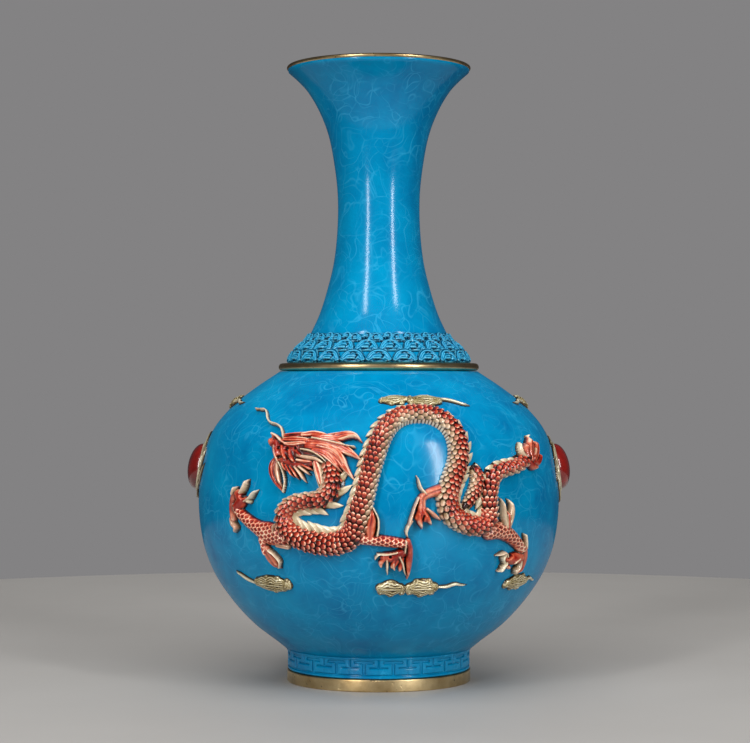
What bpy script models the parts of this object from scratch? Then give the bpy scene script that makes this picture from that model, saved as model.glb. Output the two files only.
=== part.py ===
"""Display vase in spun copper, with two cast dragons, their clouds and two flaming pearls.

The vase stands on the ground at the origin, +Z up. The front dragon faces -Y, its head
towards -X, and the back dragon is the same casting turned half round. Lengths are in
millimetres up to the point where a mesh is made. Places on the vase's wall are given as
(azimuth in degrees from the front towards +X, height), with a width or a lift after them.
"""

import math

import bmesh
import bpy
from mathutils import Vector

MM = 0.001

# Driving dimensions.
HEIGHT = 360.0
FOOT_RADIUS = 53.7
FOOT_RING_TOP = 7.0
FOOT_BAND_RADIUS = 53.0
BODY_BASE = 19.0
SHOULDER_TOP = 181.0
COLLAR_RING_RADIUS = 58.8
COLLAR_RING_TOP = 185.7
COLLAR_TOP = 201.0
NECK_SLEEVE_RADIUS = 40.6
NECK_WAIST = 275.0
LIP_RADIUS = 54.1
WALL = 1.5
GAP = 0.3
BASE_PLATE_HEIGHT = 13.0
FACETS = 32

# The vase's outline as (height, radius), one curve for the body and one for the neck.
BODY_OUTLINE = [
    (19.3, 54.5), (24.0, 60.3), (34.0, 73.2), (48.0, 86.0), (64.0, 96.5), (82.0, 102.9),
    (106.0, 105.5), (129.0, 103.0), (147.0, 96.9), (161.0, 85.4), (171.5, 72.2), (181.0, 58.0),
]
NECK_OUTLINE = [
    (203.0, 40.1), (214.0, 35.0), (228.0, 30.5), (245.0, 26.4), (265.0, 24.3), (285.0, 24.2),
    (303.0, 26.2), (320.0, 29.6), (334.0, 35.0), (345.6, 41.8), (352.0, 47.6), (356.8, 53.0),
]

# Relief heights over the wall.
DRAGON_RISE = 7.0
LIMB_RISE = 5.0
CLOUD_RISE = 3.6
FLAME_RISE = 2.0
PEARL_RISE = 8.3
PEARL_RADIUS = 13.5
PEARL_HEIGHT = 125.0
FLAME_ROOT = PEARL_RADIUS + 2.6
# Where each flame is rooted round the pearl, in degrees, and how far out its tip reaches.
FLAMES = [(-28.0, 27.0), (40.0, 22.0), (105.0, 21.5), (165.0, 23.5), (222.0, 21.5), (275.0, 22.0)]
ROUTE_STEP = 6.0
CLAW = 0.7

# The dragon's body from under the head to the tail: (azimuth, height, half width).
DRAGON_BODY = [
    (-14.6, 126.3, 4.6), (-13.9, 121.0, 5.2), (-14.6, 115.5, 5.0), (-17.5, 111.6, 4.5),
    (-21.5, 110.6, 4.1), (-25.3, 109.0, 4.4), (-28.0, 105.2, 4.8), (-28.6, 100.0, 5.0),
    (-27.4, 94.6, 5.3), (-24.0, 90.4, 5.7), (-19.0, 88.0, 6.0), (-14.0, 87.4, 6.2),
    (-9.6, 89.6, 6.3), (-7.2, 94.0, 6.3), (-6.1, 100.0, 6.1), (-5.1, 106.0, 5.7),
    (-4.2, 112.0, 5.3), (-3.1, 120.0, 5.0), (-1.8, 130.0, 5.2), (-0.4, 138.0, 5.2),
    (1.2, 145.0, 5.1), (3.8, 151.0, 5.0), (8.0, 154.9, 4.8), (13.0, 156.0, 4.7),
    (18.0, 155.2, 4.8), (22.2, 151.6, 5.0), (24.5, 146.0, 5.2), (25.0, 139.0, 5.3),
    (24.4, 132.0, 5.3), (23.0, 126.0, 5.4), (21.5, 120.0, 5.6), (20.4, 114.0, 5.7),
    (20.4, 108.0, 5.7), (21.6, 102.8, 5.6), (24.8, 98.8, 5.4), (28.8, 96.6, 5.2),
    (32.4, 97.0, 4.8), (34.0, 101.5, 4.8), (34.0, 107.0, 4.7), (34.1, 113.0, 4.5),
    (35.2, 119.5, 4.2), (37.6, 124.2, 3.9), (41.5, 126.2, 3.7), (45.5, 127.4, 3.5),
    (49.6, 129.6, 3.3),
]
BACK_COIL = [
    (29.6, 125.6, 2.6), (30.3, 121.0, 3.8), (29.4, 116.0, 3.5), (27.9, 112.0, 2.7),
    (26.4, 108.6, 1.4),
]

# The other castings are lists of strokes: each one a route with its half widths.
HEAD = [
    [(-35.0, 143.0, 2.6), (-33.0, 143.0, 3.6), (-29.0, 141.5, 5.0), (-24.0, 140.5, 7.0),
     (-19.0, 139.0, 8.5), (-15.0, 137.5, 7.0)],
    [(-31.0, 140.0, 4.0), (-30.0, 135.0, 4.0), (-28.0, 131.5, 3.2)],
    [(-21.0, 146.0, 2.2), (-15.0, 145.5, 2.4), (-10.0, 146.4, 1.8), (-6.2, 144.6, CLAW)],
    [(-15.0, 139.5, 3.0), (-10.5, 137.0, 2.0), (-6.6, 133.9, CLAW)],
    [(-15.0, 136.0, 3.0), (-11.9, 132.2, 1.8), (-8.2, 124.8, CLAW)],
    [(-26.0, 137.0, 4.0), (-25.5, 130.0, 3.0), (-25.3, 123.6, CLAW)],
    [(-23.0, 137.0, 4.0), (-22.6, 129.0, 2.6), (-21.6, 121.6, CLAW)],
    [(-30.8, 133.5, 2.6), (-32.6, 128.5, 3.2), (-31.4, 122.0, 3.0), (-29.8, 116.0, CLAW)],
    [(-30.5, 143.0, 1.4), (-32.0, 147.4, 0.9), (-34.0, 150.8, 0.8), (-38.5, 152.9, 0.8),
     (-41.5, 155.8, 0.8), (-45.0, 159.8, 0.7), (-50.5, 160.4, 0.6)],
]
LEFT_FORELEG = [
    [(-32.9, 91.3, 3.6), (-37.5, 92.2, 4.6), (-42.0, 97.2, 3.4), (-46.4, 101.4, 3.2),
     (-48.3, 106.5, 3.2), (-46.2, 110.8, 4.6)],
    [(-46.5, 110.0, 3.0), (-43.7, 115.0, 1.8), (-42.4, 121.4, CLAW)],
    [(-45.5, 110.0, 3.0), (-41.2, 110.6, 1.8), (-38.6, 115.6, CLAW)],
    [(-47.0, 110.0, 2.6), (-48.2, 113.6, 1.5), (-46.6, 116.2, CLAW)],
    [(-48.0, 104.0, 2.0), (-48.6, 98.0, 1.6), (-47.8, 92.0, CLAW)],
    [(-36.8, 91.0, 3.6), (-36.4, 84.6, 2.2), (-34.4, 78.6, 4.4), (-32.4, 73.6, CLAW)],
]
RIGHT_FORELEG = [
    [(-2.4, 88.9, 2.4), (1.0, 88.6, 2.9), (5.0, 87.3, 2.7), (8.2, 85.4, 2.4),
     (8.3, 79.4, 2.4)],
    [(7.6, 85.0, 2.2), (8.5, 80.0, 2.4), (8.6, 70.4, CLAW)],
    [(7.6, 81.4, 2.4), (4.6, 79.6, 3.4), (2.9, 76.0, 2.4), (2.7, 70.4, CLAW)],
    [(6.0, 80.4, 2.4), (1.6, 80.2, 2.2), (-1.2, 78.2, CLAW)],
    [(5.6, 79.8, 2.8), (5.3, 73.6, CLAW)],
]
LEFT_HINDLEG = [
    [(16.0, 117.2, 2.4), (13.4, 116.0, 2.8), (12.4, 111.0, 2.2), (12.0, 105.6, 2.4)],
    [(13.0, 114.6, 2.2), (11.8, 119.0, 1.5), (11.2, 124.4, CLAW)],
    [(12.2, 107.6, 2.0), (9.8, 101.0, 1.6), (8.2, 93.2, CLAW)],
    [(12.3, 107.6, 2.2), (12.8, 101.0, 2.2), (13.0, 95.2, CLAW)],
    [(12.3, 107.6, 2.0), (14.4, 101.4, 2.0), (15.8, 97.6, CLAW)],
]
RIGHT_HINDLEG = [
    [(36.4, 91.4, 3.2), (40.6, 91.4, 4.2), (44.4, 87.6, 3.4), (47.9, 83.8, 3.0),
     (50.2, 79.0, 2.8), (49.6, 73.6, 2.4)],
    [(41.0, 92.4, 3.4), (40.6, 99.6, 3.0), (39.4, 105.2, 1.8), (38.9, 110.4, CLAW)],
    [(41.0, 97.0, 2.4), (42.2, 103.6, 1.8), (41.9, 110.0, CLAW)],
    [(49.6, 78.6, 2.6), (46.6, 76.6, 3.0), (42.2, 77.6, 1.8), (38.8, 79.2, CLAW)],
    [(48.6, 76.4, 2.6), (45.0, 73.2, 2.0), (41.0, 70.0, CLAW)],
    [(49.8, 75.6, 2.4), (48.6, 69.6, CLAW)],
    [(49.6, 80.6, 1.8), (50.4, 84.6, 1.2), (49.9, 89.0, CLAW)],
]
TAIL_TUFT = [
    [(51.3, 130.9, 2.2), (53.6, 133.4, 4.0), (56.6, 137.6, 3.6), (57.6, 141.8, CLAW)],
    [(52.6, 132.4, 2.4), (50.9, 137.0, 2.0), (50.3, 141.6, CLAW)],
    [(53.0, 133.0, 3.0), (54.6, 139.0, 2.6), (55.8, 144.8, CLAW)],
    [(52.8, 132.0, 3.0), (56.4, 130.6, 3.2), (58.6, 134.6, CLAW)],
    [(52.4, 131.4, 2.4), (54.6, 128.0, 2.4), (57.2, 127.0, CLAW)],
]
TOP_CLOUD = [
    [(1.0, 165.6, 1.6), (6.0, 166.4, 2.6), (11.0, 166.2, 2.4)],
    [(10.0, 166.2, 2.6), (15.0, 165.8, 3.3), (20.0, 165.8, 3.2), (24.0, 166.0, 1.8)],
    [(23.0, 166.0, 1.4), (28.0, 164.9, 0.9), (31.5, 164.4, 0.9), (34.4, 162.6, CLAW)],
]
CENTRE_CLOUD = [
    [(1.4, 62.3, 4.0), (4.0, 62.3, 5.2), (6.6, 62.3, 4.6)],
    [(6.0, 61.8, 3.4), (10.6, 62.2, 5.0), (14.2, 62.3, 5.6), (17.6, 62.3, 4.2)],
    [(17.6, 63.6, 1.4), (22.4, 64.0, 1.1), (26.0, 62.8, 1.0), (29.4, 62.3, CLAW)],
]
LEFT_CLOUD = [
    [(-42.6, 61.6, 3.2), (-39.0, 61.8, 5.2), (-35.4, 62.6, 4.6), (-31.0, 64.6, 2.0)],
    [(-38.6, 61.4, 4.0), (-35.4, 66.0, 2.2)],
    [(-42.0, 62.6, 1.8), (-46.0, 65.4, 1.2), (-49.0, 67.2, 1.0), (-51.4, 69.2, CLAW)],
]
RIGHT_CLOUD = [
    [(46.6, 60.8, 1.6), (50.4, 60.8, 3.8), (54.0, 61.4, 4.6), (57.8, 61.6, 2.8)],
    [(51.4, 61.6, 2.6), (54.0, 65.0, 1.5)],
    [(57.0, 61.6, 1.8), (61.0, 62.0, 1.2), (64.4, 61.4, CLAW)],
]
SIDE_CLOUD = [
    [(-16.0, 161.4, 1.6), (-9.0, 162.6, 3.0), (-2.0, 163.4, 3.4), (6.0, 162.6, 2.6)],
    [(4.0, 162.8, 1.8), (12.0, 161.4, 1.4), (21.0, 160.4, CLAW)],
]

FINISHES = {
    "blue": ((0.01, 0.19, 0.36, 1.0), 0.30, 0.45),
    "brass": ((0.62, 0.50, 0.30, 1.0), 0.25, 1.00),
    "red": ((0.42, 0.09, 0.05, 1.0), 0.40, 0.30),
    "gold": ((0.60, 0.48, 0.24, 1.0), 0.40, 0.80),
    "pearl": ((0.30, 0.02, 0.01, 1.0), 0.20, 0.10),
}


def clear_scene():
    """Take away whatever the scene holds."""
    for item in list(bpy.data.objects):
        bpy.data.objects.remove(item, do_unlink=True)


def through(points, at):
    """Value at one place on a smooth curve through (place, value) points."""
    index = 0
    while index < len(points) - 2 and at > points[index + 1][0]:
        index += 1
    before, after = points[max(index - 1, 0)], points[min(index + 2, len(points) - 1)]
    start, end = points[index], points[index + 1]
    span = end[0] - start[0]
    share = (at - start[0]) / span
    slope_in = (end[1] - before[1]) / (end[0] - before[0]) * span
    slope_out = (after[1] - start[1]) / (after[0] - start[0]) * span
    return (
        start[1] * (1 + 2 * share) * (1 - share) ** 2
        + slope_in * share * (1 - share) ** 2
        + end[1] * share ** 2 * (3 - 2 * share)
        + slope_out * share ** 2 * (share - 1)
    )


def on_body(azimuth, height, lift):
    """Point at a lift above the body's wall, square to the wall."""
    radius = through(BODY_OUTLINE, height)
    slope = through(BODY_OUTLINE, height + 0.5) - through(BODY_OUTLINE, height - 0.5)
    length = math.hypot(1.0, slope)
    reach = radius + lift / length
    turn = math.radians(azimuth)
    return Vector((reach * math.sin(turn), -reach * math.cos(turn), height - lift * slope / length))


def smooth_route(points):
    """Points of a smooth curve through a stroke's own points, evenly spaced."""
    lengths = [0.0]
    for first, second in zip(points, points[1:]):
        gap = on_body(first[0], first[1], 0.0) - on_body(second[0], second[1], 0.0)
        lengths.append(lengths[-1] + gap.length)
    count = max(2, round(lengths[-1] / ROUTE_STEP))
    curves = [[(place, point[axis]) for place, point in zip(lengths, points)] for axis in range(3)]
    places = [lengths[-1] * step / count for step in range(count + 1)]
    return [tuple(through(curve, place) for curve in curves) for place in places]


def new_object(name, mesh):
    """Object in the scene for a mesh."""
    item = bpy.data.objects.new(name, mesh)
    bpy.context.scene.collection.objects.link(item)
    return item


def finish(item, finish_name):
    """Give a piece its own material and smooth its round faces."""
    colour, roughness, metallic = FINISHES[finish_name]
    material = bpy.data.materials.new(item.name)
    material.use_nodes = True
    shader = material.node_tree.nodes["Principled BSDF"]
    shader.inputs["Base Color"].default_value = colour
    shader.inputs["Roughness"].default_value = roughness
    shader.inputs["Metallic"].default_value = metallic
    item.data.materials.append(material)
    item.data.shade_smooth()
    item.data.set_sharp_from_angle(angle=math.radians(35.0))


def turned(name, outline, finish_name):
    """Ring turned from a closed outline of (radius, height), down its outer side first."""
    mesh = bpy.data.meshes.new(name)
    corners = [(radius * MM, 0.0, height * MM) for radius, height in outline]
    edges = [(index, (index + 1) % len(corners)) for index in range(len(corners))]
    mesh.from_pydata(corners, edges, [])
    item = new_object(name, mesh)
    screw = item.modifiers.new("Turn", "SCREW")
    screw.steps = FACETS
    screw.render_steps = FACETS
    screw.use_merge_vertices = True
    screw.merge_threshold = 0.0001
    finish(item, finish_name)
    return item


def stroke(name, points, rise, turn):
    """Tapered bar lying on the body's wall along a route, flat below and rounded above."""
    section = [(-1.0, 0.0), (-0.8, 0.7), (0.0, 1.0), (0.8, 0.7), (1.0, 0.0)]
    route = smooth_route(points)
    centres = [on_body(azimuth + turn, height, GAP) for azimuth, height, _ in route]
    corners = []
    for index, (azimuth, height, half_width) in enumerate(route):
        ahead = centres[min(index + 1, len(route) - 1)] - centres[max(index - 1, 0)]
        up = (on_body(azimuth + turn, height, 1.0) - on_body(azimuth + turn, height, 0.0)).normalized()
        side = up.cross(ahead).normalized()
        tall = min(rise, 0.9 + 1.1 * half_width)
        for across, over in section:
            corner = centres[index] + side * across * half_width + up * over * tall
            corners.append(corner * MM)
    size = len(section)
    faces = [tuple(range(size)), tuple(reversed(range(len(corners) - size, len(corners))))]
    for ring in range(len(route) - 1):
        for corner in range(size):
            beside = (corner + 1) % size
            low = ring * size
            faces.append((low + corner, low + size + corner, low + size + beside, low + beside))
    mesh = bpy.data.meshes.new(name)
    mesh.from_pydata(corners, [], faces)
    return new_object(name, mesh)


def casting(name, strokes, rise, turn, finish_name):
    """One cast piece: its first stroke, with the others melted into it."""
    item = stroke(name, strokes[0], rise, turn)
    for number, points in enumerate(strokes[1:]):
        limb = stroke(f"{name}_stroke_{number}", points, rise, turn)
        limb.hide_render = True
        limb.display_type = "WIRE"
        union = item.modifiers.new(limb.name, "BOOLEAN")
        union.operation = "UNION"
        union.solver = "EXACT"
        union.object = limb
    finish(item, finish_name)
    return item


def offset_outline(outline, inset, count):
    """Points evenly down an outline from top to bottom, set in from it by a wall."""
    low, high = outline[0][0], outline[-1][0]
    points = []
    for step in range(count + 1):
        height = high + (low - high) * step / count
        slope = (through(outline, height + 0.2) - through(outline, height - 0.2)) / 0.4
        length = math.hypot(1.0, slope)
        points.append((through(outline, height) - inset / length, height + inset * slope / length))
    return points


def body_shell():
    """Round body, open below, with a flange at its shoulder for the neck."""
    outer = offset_outline(BODY_OUTLINE, 0.0, 12)
    inner = offset_outline(BODY_OUTLINE, WALL, 9)
    flange_radius = NECK_SLEEVE_RADIUS - WALL
    flange_low = SHOULDER_TOP - WALL
    corner_radius = through(BODY_OUTLINE, flange_low) - 1.5 * WALL
    mouth_radius = FOOT_BAND_RADIUS - 3.0 * WALL
    base = BODY_BASE + GAP
    inside = [point for point in inner if base + WALL < point[1] < flange_low - 2.0 * WALL]
    outline = [(flange_radius, SHOULDER_TOP)] + outer + [(mouth_radius, base)]
    outline += [(mouth_radius, base + WALL)] + inside[::-1]
    outline += [(corner_radius, flange_low), (flange_radius, flange_low)]
    return turned("body_shell", outline, "blue")


def neck_sleeve():
    """Straight tube inside the collar, between the shoulder and the neck."""
    inner = NECK_SLEEVE_RADIUS - WALL
    low, high = SHOULDER_TOP + GAP, COLLAR_TOP - GAP
    outline = [(NECK_SLEEVE_RADIUS, high), (NECK_SLEEVE_RADIUS, low), (inner, low), (inner, high)]
    return turned("neck_sleeve", outline, "blue")


def neck_shell():
    """Tapered lower half of the neck, from the collar up to its waist."""
    span = [point for point in NECK_OUTLINE if point[0] < NECK_WAIST]
    span.append((NECK_WAIST, through(NECK_OUTLINE, NECK_WAIST)))
    outer = offset_outline(span, 0.0, 6)
    inner = offset_outline(span, WALL, 5)
    root = [(NECK_SLEEVE_RADIUS, COLLAR_TOP), (NECK_SLEEVE_RADIUS - WALL, COLLAR_TOP)]
    return turned("neck_shell", outer + root + inner[::-1], "blue")


def mouth_shell():
    """Flared upper half of the neck, from its waist up to the lip."""
    low = NECK_WAIST + GAP
    span = [(low, through(NECK_OUTLINE, low))]
    span += [point for point in NECK_OUTLINE if point[0] > NECK_WAIST]
    outer = offset_outline(span, 0.0, 7)
    inner = offset_outline(span, WALL, 6)
    return turned("mouth_shell", outer + inner[::-1], "blue")


def lip_ring():
    """Thin brass wire around the mouth."""
    wire = 1.1
    centre_radius, centre_height = LIP_RADIUS - wire, HEIGHT - wire
    points = []
    for step in range(6):
        angle = math.radians(90.0 - 60.0 * step)
        points.append((centre_radius + wire * math.cos(angle), centre_height + wire * math.sin(angle)))
    return turned("lip_ring", points, "brass")


def collar_ring():
    """Half-round brass ring on the shoulder's flange."""
    low, high = SHOULDER_TOP + GAP, COLLAR_RING_TOP
    middle = (low + high) / 2
    outer = COLLAR_RING_RADIUS
    inner = NECK_SLEEVE_RADIUS + GAP
    outline = [(outer - 1.6, high), (outer - 0.4, high - 1.0), (outer, middle),
               (outer - 0.4, low + 1.0), (outer - 1.6, low), (inner, low), (inner, high)]
    return turned("collar_ring", outline, "brass")


def cloud_collar():
    """Bulging band at the root of the neck that carries the cloud scrolls."""
    low = COLLAR_RING_TOP + GAP
    inner = NECK_SLEEVE_RADIUS + GAP
    outline = [(inner + 0.9, COLLAR_TOP - 0.8), (46.4, 196.4), (50.4, 192.8), (52.7, 189.4),
               (53.9, low), (inner, low), (inner, COLLAR_TOP - 0.8)]
    return turned("cloud_collar", outline, "blue")


def foot_band():
    """Short tube under the body that carries the key pattern."""
    low, high = FOOT_RING_TOP + GAP, BODY_BASE
    outer, inner = FOOT_BAND_RADIUS, FOOT_BAND_RADIUS - WALL
    return turned("foot_band", [(outer, high), (outer, low), (inner, low), (inner, high)], "blue")


def foot_ring():
    """Brass ring that the vase stands on."""
    outer, inner = FOOT_RADIUS, FOOT_RADIUS - 5.0
    outline = [(outer - 0.5, FOOT_RING_TOP), (outer, FOOT_RING_TOP - 0.6), (outer, 0.6),
               (outer - 0.6, 0.0), (inner, 0.0), (inner, FOOT_RING_TOP)]
    return turned("foot_ring", outline, "brass")


def base_plate():
    """Round plate that closes the bottom inside the foot."""
    mesh = bpy.data.meshes.new("base_plate")
    shape = bmesh.new()
    radius = (FOOT_BAND_RADIUS - WALL - 2.0 * GAP) * MM
    bmesh.ops.create_cone(shape, cap_ends=True, segments=FACETS, radius1=radius, radius2=radius,
                          depth=WALL * MM)
    bmesh.ops.translate(shape, verts=shape.verts, vec=(0.0, 0.0, (BASE_PLATE_HEIGHT + WALL / 2) * MM))
    shape.to_mesh(mesh)
    shape.free()
    finish(new_object("base_plate", mesh), "blue")


def dragon(side, turn):
    """One dragon: body, coil behind it, head, four legs and tail tuft."""
    casting(f"{side}_dragon_body", [DRAGON_BODY], DRAGON_RISE, turn, "red")
    casting(f"{side}_dragon_coil", [BACK_COIL], LIMB_RISE, turn, "red")
    casting(f"{side}_dragon_head", HEAD, DRAGON_RISE, turn, "red")
    casting(f"{side}_dragon_left_foreleg", LEFT_FORELEG, LIMB_RISE, turn, "red")
    casting(f"{side}_dragon_right_foreleg", RIGHT_FORELEG, LIMB_RISE, turn, "red")
    casting(f"{side}_dragon_left_hindleg", LEFT_HINDLEG, LIMB_RISE, turn, "red")
    casting(f"{side}_dragon_right_hindleg", RIGHT_HINDLEG, LIMB_RISE, turn, "red")
    casting(f"{side}_dragon_tail_tuft", TAIL_TUFT, LIMB_RISE, turn, "red")


def clouds(side, turn):
    """The four gold clouds around one dragon."""
    casting(f"{side}_top_cloud", TOP_CLOUD, CLOUD_RISE, turn, "gold")
    casting(f"{side}_centre_cloud", CENTRE_CLOUD, CLOUD_RISE, turn, "gold")
    casting(f"{side}_left_cloud", LEFT_CLOUD, CLOUD_RISE, turn, "gold")
    casting(f"{side}_right_cloud", RIGHT_CLOUD, CLOUD_RISE, turn, "gold")


def pearl(name, azimuth):
    """Domed pearl, flat behind, on the vase's side."""
    centre = on_body(azimuth, PEARL_HEIGHT, GAP)
    up = (on_body(azimuth, PEARL_HEIGHT, 1.0) - on_body(azimuth, PEARL_HEIGHT, 0.0)).normalized()
    across = Vector((0.0, 0.0, 1.0)).cross(up).normalized()
    over = up.cross(across)
    rings, sides = 4, 16
    corners = []
    for ring in range(rings):
        angle = math.radians(90.0 * ring / rings)
        reach, lift = PEARL_RADIUS * math.cos(angle), PEARL_RISE * math.sin(angle)
        for step in range(sides):
            turn = math.tau * step / sides
            spoke = across * math.cos(turn) + over * math.sin(turn)
            corners.append((centre + spoke * reach + up * lift) * MM)
    corners.append((centre + up * PEARL_RISE) * MM)
    faces = [tuple(reversed(range(sides)))]
    for ring in range(rings - 1):
        for step in range(sides):
            low, beside = ring * sides + step, ring * sides + (step + 1) % sides
            faces.append((low, beside, beside + sides, low + sides))
    last = (rings - 1) * sides
    faces += [(last + step, last + (step + 1) % sides, len(corners) - 1) for step in range(sides)]
    mesh = bpy.data.meshes.new(name)
    mesh.from_pydata(corners, [], faces)
    finish(new_object(name, mesh), "pearl")


def flame_mount(name, azimuth):
    """Gold flames round a pearl's rim, each rooted in the one before it, licking outwards."""
    degree = math.tau * through(BODY_OUTLINE, PEARL_HEIGHT) / 360.0
    flames = []
    for start, reach in FLAMES:
        along = [(start, FLAME_ROOT, 1.7), (start + 45.0, FLAME_ROOT, 2.1),
                 (start + 88.0, FLAME_ROOT + 1.2, 2.0), (start + 118.0, reach, CLAW)]
        flames.append([
            (azimuth + distance * math.cos(math.radians(angle)) / degree,
             PEARL_HEIGHT + distance * math.sin(math.radians(angle)), width)
            for angle, distance, width in along
        ])
    casting(name, flames, FLAME_RISE, 0.0, "gold")


def build():
    """Make the whole vase."""
    clear_scene()
    for make in (body_shell, neck_sleeve, neck_shell, mouth_shell, lip_ring, collar_ring,
                 cloud_collar, foot_band, foot_ring, base_plate):
        make()
    for side, turn in (("front", 0.0), ("back", 180.0)):
        dragon(side, turn)
        clouds(side, turn)
    for side, azimuth in (("left", -90.0), ("right", 90.0)):
        pearl(f"{side}_pearl", azimuth)
        flame_mount(f"{side}_flame_mount", azimuth)
        casting(f"{side}_shoulder_cloud", SIDE_CLOUD, CLOUD_RISE, azimuth, "gold")


build()
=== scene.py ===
"""Looks of a copper display vase: blue patina under gloss, with cast dragons, clouds and pearls.

Lengths are in millimetres until a mesh is made. A place on the vase's wall is given as
(azimuth in degrees from the front towards +X, height), followed by what the piece needs there.
"""

import math

import bpy
import numpy as np
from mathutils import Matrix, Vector


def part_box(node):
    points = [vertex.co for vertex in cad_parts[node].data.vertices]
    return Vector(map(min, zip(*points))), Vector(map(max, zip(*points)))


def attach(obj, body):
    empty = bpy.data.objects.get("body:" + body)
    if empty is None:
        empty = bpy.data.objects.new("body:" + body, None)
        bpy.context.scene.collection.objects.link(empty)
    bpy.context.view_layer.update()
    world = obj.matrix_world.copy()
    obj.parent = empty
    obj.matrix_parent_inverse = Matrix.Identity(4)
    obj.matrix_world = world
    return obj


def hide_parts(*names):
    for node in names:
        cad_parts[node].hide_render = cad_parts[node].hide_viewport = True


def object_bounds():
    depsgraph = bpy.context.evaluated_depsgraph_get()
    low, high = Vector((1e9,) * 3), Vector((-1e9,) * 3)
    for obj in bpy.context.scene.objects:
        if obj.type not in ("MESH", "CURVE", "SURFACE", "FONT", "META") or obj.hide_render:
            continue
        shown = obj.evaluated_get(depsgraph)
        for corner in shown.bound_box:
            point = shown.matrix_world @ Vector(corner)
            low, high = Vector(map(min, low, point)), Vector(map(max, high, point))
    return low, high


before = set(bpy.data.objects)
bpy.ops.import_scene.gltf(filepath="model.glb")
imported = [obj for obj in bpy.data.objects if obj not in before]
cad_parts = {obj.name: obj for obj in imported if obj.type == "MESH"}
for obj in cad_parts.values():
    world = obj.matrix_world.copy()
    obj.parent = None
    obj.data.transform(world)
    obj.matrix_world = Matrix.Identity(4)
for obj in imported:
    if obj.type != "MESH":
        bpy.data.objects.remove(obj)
CAD_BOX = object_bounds()

MM = 0.001
BODY = "root"
BACK_TURN = 180.0


def node_box(name):
    """Lowest and highest corner of a CAD node, in millimetres."""
    low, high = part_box(name)
    return [value / MM for value in low], [value / MM for value in high]


# ---------------------------------------------------------------- the vase's own shape
HEIGHT = CAD_BOX[1].z / MM
FOOT_RADIUS = node_box("foot_ring")[1][0]
FOOT_RING_TOP = node_box("foot_ring")[1][2]
BAND_RADIUS = node_box("foot_band")[1][0]
BAND_LOW, BAND_TOP = node_box("foot_band")[0][2], node_box("foot_band")[1][2]
SHOULDER_TOP = node_box("body_shell")[1][2]
RING_RADIUS = node_box("collar_ring")[1][0]
RING_LOW, RING_TOP = node_box("collar_ring")[0][2], node_box("collar_ring")[1][2]
COLLAR_LOW, COLLAR_TOP = node_box("cloud_collar")[0][2], node_box("cloud_collar")[1][2]
LIP_RADIUS = node_box("lip_ring")[1][0]
PEARL_TOP, PEARL_BASE = node_box("left_pearl")[1][2], node_box("left_pearl")[0][2]
WALL = 1.5

BODY_OUTLINE = [
    (19.3, 54.5), (24.0, 60.3), (34.0, 73.2), (48.0, 86.0), (64.0, 96.5), (82.0, 102.9),
    (106.0, 105.5), (129.0, 103.0), (147.0, 96.9), (161.0, 85.4), (171.5, 72.2), (181.0, 58.0),
]
NECK_OUTLINE = [
    (203.0, 40.1), (214.0, 35.0), (228.0, 30.5), (245.0, 26.4), (265.0, 24.3), (285.0, 24.2),
    (303.0, 26.2), (320.0, 29.6), (334.0, 35.0), (345.6, 41.8), (352.0, 47.6), (356.8, 53.0),
]
COLLAR_OUTLINE = [(185.9, 53.2), (189.0, 51.9), (192.6, 49.7), (196.2, 45.9), (199.6, 42.2), (202.6, 40.6)]
BAND_OUTLINE = [(7.0, 52.4), (13.0, 52.4), (19.4, 52.4)]


def through(points, at):
    """Value at one place on a smooth curve through (place, value) points."""
    index = 0
    while index < len(points) - 2 and at > points[index + 1][0]:
        index += 1
    before, after = points[max(index - 1, 0)], points[min(index + 2, len(points) - 1)]
    start, end = points[index], points[index + 1]
    span = end[0] - start[0]
    share = (at - start[0]) / span
    slope_in = (end[1] - before[1]) / (end[0] - before[0]) * span
    slope_out = (after[1] - start[1]) / (after[0] - start[0]) * span
    return (
        start[1] * (1 + 2 * share) * (1 - share) ** 2
        + slope_in * share * (1 - share) ** 2
        + end[1] * share ** 2 * (3 - 2 * share)
        + slope_out * share ** 2 * (share - 1)
    )


class Wall:
    """A turned surface: its radius and slope at any height, and points over it."""

    def __init__(self, outline):
        self.heights = np.linspace(outline[0][0], outline[-1][0], 600)
        self.radii = np.array([through(outline, height) for height in self.heights])
        self.slopes = np.gradient(self.radii, self.heights)

    def radius(self, height):
        return np.interp(height, self.heights, self.radii)

    def slope(self, height):
        return np.interp(height, self.heights, self.slopes)

    def stretch(self, height):
        """Length along the wall for each unit of height."""
        return np.hypot(1.0, self.slope(height))

    def points(self, azimuth, height, lift):
        """Points at a lift over the wall, square to it."""
        azimuth, height, lift = (np.asarray(value, float) for value in (azimuth, height, lift))
        stretch = self.stretch(height)
        reach = self.radius(height) + lift / stretch
        turn = np.radians(azimuth)
        rise = height - lift * self.slope(height) / stretch
        return np.stack([reach * np.sin(turn), -reach * np.cos(turn), rise + 0 * turn], -1)

    def normals(self, azimuth, height):
        """Outward directions of the wall."""
        turn, slope = np.radians(azimuth), self.slope(height)
        out = np.stack([np.sin(turn), -np.cos(turn), -slope + 0 * turn], -1)
        return out / np.linalg.norm(out, axis=-1, keepdims=True)


BODY_WALL = Wall(BODY_OUTLINE)
NECK_WALL = Wall(NECK_OUTLINE)
COLLAR_WALL = Wall(COLLAR_OUTLINE)
BAND_WALL = Wall(BAND_OUTLINE)


# ---------------------------------------------------------------- meshes from arrays
def new_object(name, mesh):
    """Object in the scene for a mesh."""
    item = bpy.data.objects.new(name, mesh)
    bpy.context.scene.collection.objects.link(item)
    return item


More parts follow.
